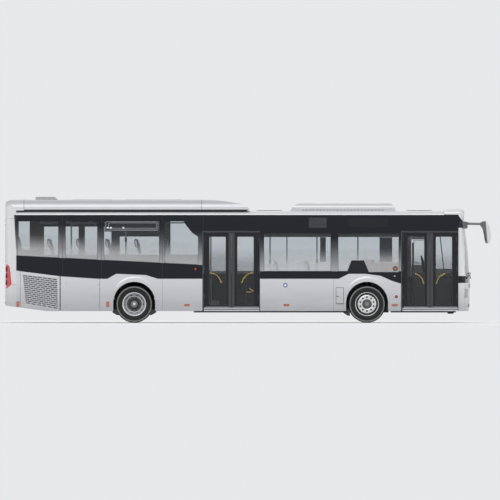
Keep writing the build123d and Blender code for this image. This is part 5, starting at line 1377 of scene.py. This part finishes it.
# ---------------------------------------------------------------- roof
# stations of the pod's fans, and the height of its top
FANS, POD_TOP = (8.05, 8.66, 9.27), 3.058
bm = bmesh.new()
for s0, s1 in ((6.45, 7.1), (10.3, 10.95)):
    add_prism(bm, [(at(u), v) for u, v in rounded(s0, s1, -0.36, 0.36, 0.06, 5)], 2.862, 2.88, 0, "xy")
    add_prism(bm, [(at(u), v) for u, v in rounded(s0 + 0.05, s1 - 0.05, -0.31, 0.31, 0.05, 5)], 2.88, 2.884,
              1, "xy")
piece("roof_hatches", bm, [plastic, silver], slot="silver_paint", bevel=0.004, smooth=30)
bm = bmesh.new()
for s in FANS:
    c = (at(s), 0, POD_TOP)
    add_lathe(bm, [(0.0, 0.235), (0.0, 0.262), (0.008, 0.26), (0.01, 0.25), (0.008, 0.235)], c, (0, 0, 1),
              48, 0)
    add_lathe(bm, [(-0.002, 0.0), (-0.002, 0.236), (0.0045, 0.236), (0.0045, 0.0)], c, (0, 0, 1), 48, 1)
    for r in (0.06, 0.105, 0.15, 0.195):
        add_lathe(bm, [(0.004, r), (0.004, r + 0.005), (0.009, r + 0.005), (0.009, r)], c, (0, 0, 1), 40, 0)
    for k in range(6):
        a = math.pi * k / 6
        dx, dy = 0.236 * math.cos(a), 0.236 * math.sin(a)
        nx, ny = -0.003 * math.sin(a), 0.003 * math.cos(a)
        add_prism(bm, [(c[0] + dx + nx, dy + ny), (c[0] - dx + nx, -dy + ny), (c[0] - dx - nx, -dy - ny),
                       (c[0] + dx - nx, dy - ny)], 3.0625, 3.0665, 0, "xy")
for side in (-1, 1):
    for k in range(24):
        s = 7.62 + 0.088 * k
        add_box(bm, (at(s), side * 0.9602, 2.88), (at(s) + 0.06, side * 0.9615, 2.893), 1)
    add_box(bm, (at(7.37), side * 0.955, 2.905), (at(9.96), side * 0.966, 2.916), 2)
piece("aircon_grilles", bm, [aluminium, rubber, silver], slot="black_plastic", smooth=35)
bm = bmesh.new()
for s0, s1 in ((1.75, 2.75), (3.1, 4.6)):
    n = int((s1 - s0) / 0.05)
    for k in range(n):
        for y0, y1 in ((-0.62, -0.03), (0.03, 0.62)):
            add_box(bm, (at(s0 + 0.05 * k), y0, 3.148), (at(s0 + 0.05 * k) + 0.018, y1, 3.1585), 0)
for s in (1.62, 2.9, 4.78):
    add_ribbon(bm, fairing_line(2.902)[12:-12], at(s) - 0.002, at(s) + 0.002, 0.001, 0.004, 0)
piece("fairing_vents", bm, rubber)
bm = bmesh.new()
for k in range(5):
    add_box(bm, (at(0.783), -0.3, 3.162 + 0.011 * k), (at(0.7845) + 0.0012 * k, 0.3, 3.167 + 0.011 * k), 0)
piece("roof_vent_slits", bm, rubber)

# ---------------------------------------------------------------- mirrors
for side, word in ((-1, "right"), (1, "left")):
    tip = 6.225
    line = [(tip - 0.1012, 2.05), (tip - 0.133, 2.163), (tip - 0.147, 2.262), (tip - 0.182, 2.399)]
    bm = bmesh.new()
    add_prism(bm, [(x - 0.0005, z) for x, z in line] + [(x - 0.0035, z) for x, z in line[::-1]],
              side * 1.028, side * 1.212, 0)
    rim = [(x + 0.001, z + dz) for (x, z), dz in zip(line, (-0.012, 0, 0, 0.012))]
    rim += [(x - 0.006, z + dz) for (x, z), dz in zip(line[::-1], (0.012, 0, 0, -0.012))]
    for y0, y1 in ((1.018, 1.027), (1.213, 1.222)):
        add_prism(bm, rim, side * y0, side * y1, 1)
    piece(f"{word}_mirror_face", bm, [mirror_m, plastic])
    bm = bmesh.new()
    add_lathe(bm, [(-0.004, 0.0), (-0.004, 0.034), (0.012, 0.034), (0.02, 0.026), (0.02, 0.0)],
              (5.632, side * 1.12, 2.54), (1, 0, 0), 28)
    for y in (1.055, 1.185):
        add_lathe(bm, [(-0.006, 0.0), (-0.006, 0.012), (0.0, 0.012), (0.004, 0.008), (0.004, 0.0)],
                  (tip - 0.133, side * y, 2.6), (0, 0, 1), 16)
    piece(f"{word}_mirror_joints", bm, plastic, smooth=35)


# ---------------------------------------------------------------- seats
INNER_Y, LOW_FLOOR, HIGH_FLOOR, FLOOR_STEP = 1.208, 0.38, 0.95, 4.9
# width of a seat, and the gap to the side wall
SEAT_W, SEAT_GAP = 0.43, 0.04
ROWS = [(s, HIGH_FLOOR, side) for s in (1.25, 1.995, 2.74, 3.485, 4.23) for side in (-1, 1)]
ROWS += [(7.05, LOW_FLOOR, 1), (7.85, LOW_FLOOR, 1)]
SEATS = [(s, z, side * (INNER_Y - SEAT_GAP - SEAT_W * (k + 0.5)), side) for s, z,
         side in ROWS for k in (0, 1)]
BENCH = [(0.43, HIGH_FLOOR + 0.06, 0.467 * k, 0) for k in (-2, -1, 0, 1, 2)]
# line of the shell, low front edge to the top of the back: (forward of the seat's station, height)
SHELL_LINE = [(0.452, 0.412), (0.44, 0.408), (0.3, 0.399), (0.16, 0.388), (0.055, 0.381), (0.016, 0.402),
              (-0.002, 0.47), (-0.034, 0.66), (-0.066, 0.86), (-0.096, 1.05), (-0.108, 1.13),
              (-0.106, 1.176)]


def seat_shells(name, seats, material, node, width=SEAT_W):
    """Moulded shells, each a sheet swept along the seat's line with its edges turned up."""
    bm = bmesh.new()
    for s, z, y, _ in seats:
        rows = []
        for i, (u, v) in enumerate(SHELL_LINE):
            narrow = 0.88 if i == len(SHELL_LINE) - 1 else (0.95 if i == len(SHELL_LINE) - 2 else 1.0)
            half = (width / 2 - 0.008) * narrow
            fore, up = (0.06 if i < 10 else 0.035, 0.004) if i > 6 else (0.0, 0.012)
            rows.append([bm.verts.new((at(s) + u + fore * abs(w) ** 6, y + half * w,
                                       z + v + up * abs(w) ** 4))
                         for w in (-1, -0.93, -0.75, -0.4, 0, 0.4, 0.75, 0.93, 1)])
        skin(bm, rows, loop=False, ring=False)
    ob = piece(name, bm, material, slot="black_plastic", smooth=50)
    sol = ob.modifiers.new("skin", "SOLIDIFY")
    sol.thickness, sol.offset = 0.009, 0.0
    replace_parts(ob, node)


def pad_master(name, half_x, half_y, half_z, edge):
    """A cushion form: a slab blown up by a short cloth run, with two sewn channels and drawn-in sides."""
    bm = bmesh.new()
    bmesh.ops.create_cube(bm, size=1.0)
    for v in bm.verts:
        v.co = (v.co.x * 2 * half_x, v.co.y * 2 * half_y, v.co.z * 2 * half_z)
    bmesh.ops.bevel(bm, geom=bm.edges[:], offset=edge, segments=3, affect="EDGES")
    ob = put(name, mesh_of(name, bm))
    rm = ob.modifiers.new("remesh", "REMESH")
    rm.mode, rm.voxel_size = "VOXEL", 0.013
    dg = bpy.context.evaluated_depsgraph_get()
    base = bpy.data.meshes.new_from_object(ob.evaluated_get(dg))
    ob.modifiers.clear()
    ob.data = base
    rest = [v.co.copy() for v in base.vertices]
    cl = ob.modifiers.new("cloth", "CLOTH")
    cl.settings.quality, cl.settings.mass = 5, 0.2
    cl.settings.use_pressure, cl.settings.uniform_pressure_force = True, 4.0
    cl.settings.effector_weights.gravity = 0
    cl.settings.tension_stiffness = cl.settings.compression_stiffness = 15
    scene = bpy.context.scene
    for f in range(1, 21):
        scene.frame_set(f)
    dg = bpy.context.evaluated_depsgraph_get()
    base = bpy.data.meshes.new_from_object(ob.evaluated_get(dg))
    scene.frame_set(1)
    for v, r in zip(base.vertices, rest):
        move = v.co - r
        if move.length > 0.008:
            move *= 0.008 / move.length
        # the sewn channels across the pad and the sides drawn in between the corners
        x, y = r.x / half_x, r.y / half_y
        seam = sum(math.exp(-((x - c) / 0.035) ** 2) for c in (-0.36, 0.36)) * (0.0045 if r.z > 0 else 0)
        draw = Vector((-x * 0.006 * (1 - y * y), -y * 0.006 * (1 - x * x), 0))
        v.co = r + move + draw - Vector((0, 0, seam))
    bpy.data.objects.remove(ob)
    base.polygons.foreach_set("use_smooth", [True] * len(base.polygons))
    return base


seat_pad = pad_master("seat_pad_form", 0.19, 0.19, 0.013, 0.01)
back_pad = pad_master("back_pad_form", 0.33, 0.18, 0.012, 0.01)


def place_pad(name, form, where, slope, wide=1.0):
    """A copy of a cushion form, with its near end at where and its length along slope."""
    me = form.copy()
    ob = put(name, me)
    turn = Matrix.Rotation(slope, 4, "Y")
    me.transform(Matrix.Translation(Vector(where)) @ turn @ Matrix.Diagonal((1, wide, 1, 1)))
    me.materials.clear()
    me.materials.append(seat_m.m)
    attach(ob, "body")


def cushions(word, seats, wide=1.0):
    """A seat cushion and a back cushion on each seat."""
    for k, (s, z, y, _) in enumerate(seats):
        place_pad(f"{word}_cushion_{k + 1}", seat_pad, (at(s) + 0.25, y, z + 0.4225), math.radians(-3.4),
                  wide)
        place_pad(f"{word}_back_{k + 1}", back_pad, (at(s) - 0.0185, y, z + 0.812), math.radians(-99.6),
                  wide)


seat_shells("seat_shells", SEATS + BENCH, shell_m, "passenger_seats")
cushions("seat", SEATS)
cushions("bench", BENCH, 1.05)

bm = bmesh.new()
for s, z, side in ROWS:
    y = side * (INNER_Y - SEAT_GAP - SEAT_W)
    over_wheel = X_RA - 0.9 < at(s) < X_RA + 0.55
    foot = z + 0.14 if over_wheel else z
    add_box(bm, (at(s) + 0.16, y - 0.025, foot), (at(s) + 0.24, y + 0.025, z + 0.355))
    add_box(bm, (at(s) + 0.09, y - 0.055, foot), (at(s) + 0.31, y + 0.055, foot + 0.012))
    for u in (0.1, 0.34):
        add_box(bm, (at(s) + u, side * (INNER_Y - 0.012), z + 0.352),
                (at(s) + u + 0.035, side * (INNER_Y - 0.8), z + 0.378))
for k in range(6):
    y = -0.95 + 0.38 * k
    add_box(bm, (at(0.43) + 0.1, y - 0.02, HIGH_FLOOR), (at(0.43) + 0.14, y + 0.02, HIGH_FLOOR + 0.44))
piece("seat_frames", bm, frame_grey, slot="grey_rail", bevel=0.004)
for k, (s, z, side) in enumerate(ROWS):
    y = side * (INNER_Y - SEAT_GAP - 2 * SEAT_W + 0.05)
    x = at(s) - 0.112
    tube(f"seat_handle_{k + 1}", [(x + 0.018, y, z + 0.98), (x - 0.03, y, z + 1.0), (x - 0.044, y, z + 1.1),
                                  (x - 0.04, y, z + 1.185), (x - 0.02, y + side * 0.03, z + 1.19),
                                  (x - 0.012, y + side * 0.14, z + 1.188),
                                  (x + 0.004, y + side * 0.16, z + 1.15)],
         0.013, frame_grey)

# driver's place: shell, cushions, pillar with bellows, seat rails and arm rests
DRIVER = [(NOSE_X - 1.15 - X_REAR, LOW_FLOOR + 0.16, INNER_Y - 0.728 + 0.26, 1)]
seat_shells("driver_seat_shell", DRIVER, plastic, "driver_seat", 0.52)
cushions("driver", DRIVER, 1.24)
s, z, y, _ = DRIVER[0]
bm = bmesh.new()
add_lathe(bm, [(0.0, 0.0), (0.0, 0.085)] + [(0.03 + 0.035 * k, 0.055 + 0.022 * (k % 2)) for k in range(8)]
          + [(0.3, 0.075), (0.32, 0.075), (0.32, 0.0)], (at(s) + 0.2, y, LOW_FLOOR + 0.05), (0, 0, 1), 28)
add_box(bm, (at(s) + 0.08, y - 0.1, LOW_FLOOR), (at(s) + 0.32, y + 0.1, LOW_FLOOR + 0.05))
for k in (-1, 1):
    add_box(bm, (at(s) + 0.04, y + k * 0.19 - 0.02, z + 0.345),
            (at(s) + 0.42, y + k * 0.19 + 0.02, z + 0.38))
    add_box(bm, (at(s) - 0.02, y + k * 0.245 - 0.012, z + 0.62),
            (at(s) + 0.26, y + k * 0.245 + 0.012, z + 0.655))
piece("driver_seat_pillar", bm, plastic, smooth=40, bevel=0.004)

# ---------------------------------------------------------------- linings, ceiling, rails
# how far in from the wall's face the sill panels and the boards lie, and the height that rails hang from
SILL_D, BOARD_D, CEILING_Z = (-0.062, -0.057), (-0.064, -0.058), 2.775
# side linings in the near-black lining colour: painted shade below the windows
bm = bmesh.new()
for side, spans in ((-1, ((0.34, 5.06), (6.56, 8.52), (9.96, 10.15))),
                    (1, ((0.34, 8.52), (9.96, 10.15), (10.16, 11.6)))):
    for s0, s1 in spans:
        n = max(1, round((s1 - s0) / 1.2))
        for k in range(n):
            a, b = s0 + (s1 - s0) * k / n, s0 + (s1 - s0) * (k + 1) / n
            low = HIGH_FLOOR if b <= FLOOR_STEP + 0.2 else LOW_FLOOR
            top = 1.48 if low == HIGH_FLOOR else 1.17 if a > 10.15 else 1.26
            side_box(bm, side, a + 0.002, b - 0.002, -0.062, -0.056, low + 0.004, top)
            side_box(bm, side, a + 0.002, b - 0.002, -0.068, -0.056, low + 0.004, low + 0.1, 1)
piece("side_linings", bm, [lining, plastic], bevel=0.002)
bm = bmesh.new()
for s0, s1, z0, z1 in ((0.34, 0.96, 1.482, 1.862), (0.965, 2.02, 1.482, 1.742), (2.025, 3.93, 1.482, 1.742),
                       (3.935, 5.04, 1.482, 1.742), (10.18, 10.425, 1.175, 2.3),
                       (10.43, 11.02, 1.175, 1.478),
                       (10.43, 11.02, 2.145, 2.3), (11.025, 11.58, 1.175, 1.38)):
    side_box(bm, 1, s0, s1, *SILL_D, z0, z1)
piece("window_sills", bm, sill_m, bevel=0.002)
bm = bmesh.new()
side_prism(bm, -1, [(8.765, 1.3), (8.882, 1.597), (9.201, 1.597), (9.327, 1.3)], 0.0004, 0.0014)
side_prism(bm, -1, [(9.329, 1.3), (9.203, 1.597), (9.39, 1.597), (9.44, 1.54), (10.085, 1.54),
                    (10.085, 1.3)],
           0.0004, 0.0014, 1)
piece("glass_prints", bm, [sign_dark, print_grey], slot="black_band")
bm = bmesh.new()
for board, header in (((9.6, 9.925), (8.53, 10.125)), ((8.08, 8.225), (6.63, 8.37))):
    side_box(bm, -1, *board, -0.09, -0.084, 1.56, 2.19)
    side_box(bm, -1, *header, *BOARD_D, 2.196, 2.33, 1)
piece("entrance_screen", bm, [lining, band_trim], bevel=0.002)
bm = bmesh.new()
side_box(bm, -1, 2.56, 3.965, *BOARD_D, 2.335, 2.61)
piece("vent_blind", bm, lining, bevel=0.002)
tube("driver_window_bar", [(at(11.165), WALL_Y - 0.048, 2.29), (at(11.225), WALL_Y - 0.048, 1.74),
                           (at(11.285), WALL_Y - 0.048, 1.2)],
     0.013, plastic)
bm = bmesh.new()
for side in (-1, 1):
    prof = [(side * 1.203, 2.64), (side * 1.203, 2.735), (side * 0.9, 2.785), (side * 0.8, 2.77),
            (side * 0.86, 2.7),
            (side * 1.12, 2.64)]
    for s0, s1 in ((0.36, 2.6), (2.61, 5.04), (6.58, 8.4), (8.41, 10.14)):
        add_prism(bm, prof, at(s0), at(s1), 0, "yz")
        add_box(bm, (at(s0) + 0.1, side * 0.7, 2.772), (at(s1) - 0.1, side * 0.56, 2.786), 1)
piece("ceiling_ducts", bm, [panel_m, white], bevel=0.006, smooth=35)
for side, word in ((-1, "right"), (1, "left")):
    for part, y, z, s0, s1 in (("rear", 0.288, 2.56, 0.9, 4.8),
                               ("front", 0.64, 2.3, 6.7 if side < 0 else 5.35, 10.05)):
        y *= side
        ends = [(at(s0), y, 2.77), (at(s0), y, z + 0.06), (at(s0) + 0.01, y, z + 0.01),
                (at(s0) + 0.07, y, z)]
        far = [(2 * at((s0 + s1) / 2) - x, q, v) for x, q, v in ends[::-1]]
        tube(f"{word}_{part}_ceiling_rail", ends + [(at((s0 + s1) / 2), y, z)] + far, 0.016, rail_steel)
bm = bmesh.new()
for side in (-1, 1):
    for y, z, spots in ((0.288, 2.56, (2.2, 3.5)), (0.64, 2.3,
                                                    (7.0, 7.9, 8.9) if side < 0 else (6.5, 7.7, 8.9))):
        for s in spots:
            add_lathe(bm, [(0.0, 0.0), (0.0, 0.011), (CEILING_Z - z, 0.011), (CEILING_Z - z, 0.0)],
                      (at(s), side * y, z), (0, 0, 1),
                      12)
            add_lathe(bm, [(-0.03, 0.017), (-0.03, 0.022), (0.03, 0.022), (0.03, 0.017)],
                      (at(s), side * y, z), (1, 0, 0), 16)
POLES = [(6.8, -0.64, 0), (7.23, -1.06, 0), (8.0, -0.64, 0), (9.05, -0.38, 0), (9.65, -0.38, 0),
         (6.8, 0.62, 0), (8.5, 0.38, 0), (5.28, 0.42, 0), (3.1, -0.288, 1), (3.1, 0.288, 1),
         (1.7, -0.288, 1), (1.7, 0.288, 1)]
for s, y, high in POLES:
    z = HIGH_FLOOR if high else LOW_FLOOR
    add_lathe(bm, [(0.0, 0.0), (0.0, 0.046), (0.008, 0.044), (0.028, 0.026), (0.032, 0.0185), (0.032, 0.0)],
              (at(s), y, z),
              (0, 0, 1), 24)
piece("rail_fittings", bm, rail_steel, smooth=35)
bm = bmesh.new()
for s, y, high in POLES[:1] + POLES[2:9:2]:
    z = (HIGH_FLOOR if high else LOW_FLOOR) + 1.18
    add_prism(bm, rounded(at(s) - 0.028, at(s) + 0.028, z - 0.055, z + 0.055, 0.014, 4), y - 0.034,
              y + 0.026, 0)
    add_lathe(bm, [(0.0, 0.0), (0.0, 0.017), (0.006, 0.015), (0.008, 0.0)], (at(s), y - 0.034, z),
              (0, -1, 0), 20, 1)
piece("stop_buttons", bm, [plastic, lamp_red], smooth=35, bevel=0.003)
bm = bmesh.new()
x, y = at(9.05), -0.38
add_prism(bm, rounded(x - 0.075, x + 0.075, 1.34, 1.6, 0.02, 4), y - 0.095, y - 0.02, 0)
add_prism(bm, rounded(x - 0.058, x + 0.058, 1.48, 1.58, 0.008, 3), y - 0.0985, y - 0.094, 1)
add_prism(bm, rounded(x - 0.045, x + 0.045, 1.37, 1.45, 0.02, 4), y - 0.0985, y - 0.094, 2)
add_box(bm, (x - 0.022, y - 0.024, 1.42), (x + 0.022, y + 0.024, 1.52), 0)
piece("ticket_reader", bm, [yellow, sign_glass, plastic], bevel=0.003, smooth=35)

# ---------------------------------------------------------------- driver's controls
bm = bmesh.new()
add_prism(bm, [(5.262, 1.158), (5.372, 1.158), (5.34, 1.222), (5.292, 1.232), (5.268, 1.222)], 0.54, 0.98)
add_prism(bm, [(5.2565, 1.162), (5.2625, 1.16), (5.2685, 1.216), (5.2625, 1.218)], 0.56, 0.96, 1)
for y, r in ((0.665, 0.04), (0.855, 0.04), (0.725, 0.014), (0.795, 0.014)):
    for r0, r1, d in ((r * 0.86, r, 0.004), (0.0, r * 0.12, 0.003)):
        add_lathe(bm, [(0.0, r0), (0.0, r1), (d, r1), (d, r0)], (5.26, y, 1.188 if r > 0.02 else 1.178),
                  (-1, 0, 0.12), 28, 2)
for j in range(2):
    for k in range(6):
        y = 0.12 + 0.048 * k
        add_prism(bm, [(5.2285 - 0.024 * j, 1.122 - 0.038 * j), (5.2225 - 0.024 * j, 1.124 - 0.038 * j),
                       (5.2045 - 0.024 * j + 0.024, 1.096 - 0.038 * j + 0.0), (5.2105, 1.094 - 0.038 * j)],
                       y, y + 0.036, 3)
piece("instrument_panel", bm, [plastic, sign_glass, chrome, shell_m], slot="dash_plastic", smooth=40,
      bevel=0.002)
bm = bmesh.new()
hub, tilt = Vector((5.065, 0.76, 1.19)), math.radians(25)
up = Vector((-math.sin(tilt), 0, math.cos(tilt)))
add_lathe(bm, [(0.012, 0.0), (0.012, 0.062), (0.022, 0.066), (0.034, 0.052), (0.038, 0.0)], hub, up, 36)
for k in range(4):
    a = math.pi / 2 * k
    u = up.orthogonal().normalized()
    d = u * math.cos(a) + up.cross(u) * math.sin(a)
    add_lathe(bm, [(0.06, 0.02), (0.14, 0.014), (0.212, 0.016), (0.212, 0.0), (0.06, 0.0)], hub, d, 12)
piece("steering_hub", bm, plastic, smooth=40)
bm = bmesh.new()
for y, w, z in ((0.7, 0.075, 0.47), (0.86, 0.055, 0.46)):
    add_prism(bm, [(5.25, z), (5.262, z - 0.006), (5.215, z - 0.075), (5.203, z - 0.068)], y - w / 2,
              y + w / 2)
    add_box(bm, (5.255, y - 0.012, z - 0.02), (5.385, y + 0.012, z - 0.005))
piece("pedals", bm, plastic, bevel=0.002)

# ---------------------------------------------------------------- left side flaps and what hangs below
bm = bmesh.new()
for s in (1.426, 2.44, 5.62, 7.0):
    low = 0.505 - (s - 1.426) * 0.19 if s < 2.4 else 0.304
    side_box(bm, 1, s - 0.002, s + 0.002, -0.0015, 0.002, low, belt_at(s) - 0.008)
side_box(bm, 1, 4.046, 8.416, -0.0015, 0.002, 0.905, 0.909)
for side in (-1, 1):
    side_box(bm, side, 0.196, 0.3, -0.0015, 0.002, 0.978, 0.982)
piece("panel_grooves", bm, rubber)
bm = bmesh.new()
for s, z in ((1.34, 1.02), (1.52, 1.02), (2.34, 0.98), (4.2, 0.86), (5.52, 0.86), (5.74, 0.86), (6.9, 0.86),
             (7.12, 0.86),
             (8.3, 0.86)):
    y = WALL_Y
    add_lathe(bm, [(-0.002, 0.016), (0.0015, 0.016), (0.0025, 0.013), (0.001, 0.012), (-0.002, 0.012)],
              (at(s), y, z), (0, 1, 0),
              20, 0)
    add_lathe(bm, [(-0.002, 0.0), (-0.002, 0.012), (0.0005, 0.011), (0.0005, 0.0)], (at(s), y, z),
              (0, 1, 0), 20, 1)
piece("left_flap_locks", bm, [rubber, silver], smooth=35)
bm = bmesh.new()
for y, z, r, s0, s1 in ((0.7, 0.64, 0.115, 0.55, 1.45), (-0.78, 0.56, 0.07, 0.6, 1.3)):
    prof = [(0.0, 0.0), (0.0, r * 0.8), (0.02, r), (s1 - s0 - 0.02, r), (s1 - s0, r * 0.8), (s1 - s0, 0.0)]
    add_lathe(bm, prof, (at(s0), y, z), (1, 0, 0), 32)
    for s in (s0 + 0.15, s1 - 0.15):
        add_lathe(bm, [(-0.015, r + 0.001), (-0.015, r + 0.005), (0.015, r + 0.005), (0.015, r + 0.001)],
                  (at(s), y, z), (1, 0, 0),
                  32, 1)
piece("silencer_and_tank", bm, [dark_iron, aluminium], smooth=40)
tube("exhaust_pipe", [(at(0.56), 0.7, 0.64), (at(0.4), 0.7, 0.64), (at(0.34), 0.7, 0.6),
                      (at(0.3), 0.7, 0.56)],
     0.04, dark_iron)
bm = bmesh.new()
for j in range(7):
    z = 0.47 + 0.055 * j
    add_box(bm, (at(0.36), -0.436, z), (at(1.52), -0.4315, z + 0.025))
    add_box(bm, (at(0.36), 0.4315, z), (at(1.52), 0.436, z + 0.025))
for k in range(6):
    x = at(0.46 + 0.19 * k)
    add_lathe(bm, [(0.0, 0.0), (0.0, 0.05), (0.012, 0.045), (0.016, 0.0)], (x, -0.436, 0.66), (0, -1, 0),
              16)
piece("engine_ribs", bm, dark_iron, slot="engine_iron", bevel=0.002)
bm = bmesh.new()
for side in (-1, 1):
    for x, spread in ((X_RA, (-0.34, 0.34)), (X_FA, (-0.26,))):
        for dx in spread:
            c = (x + dx, side * 0.46, 0.5)
            add_lathe(bm, [(0.0, 0.0), (0.0, 0.02), (0.17, 0.02), (0.17, 0.03), (0.31, 0.03), (0.31, 0.0)],
                      c,
                      (0.12 if dx > 0 else -0.12, 0, 1), 16)
piece("dampers", bm, chassis, smooth=40)
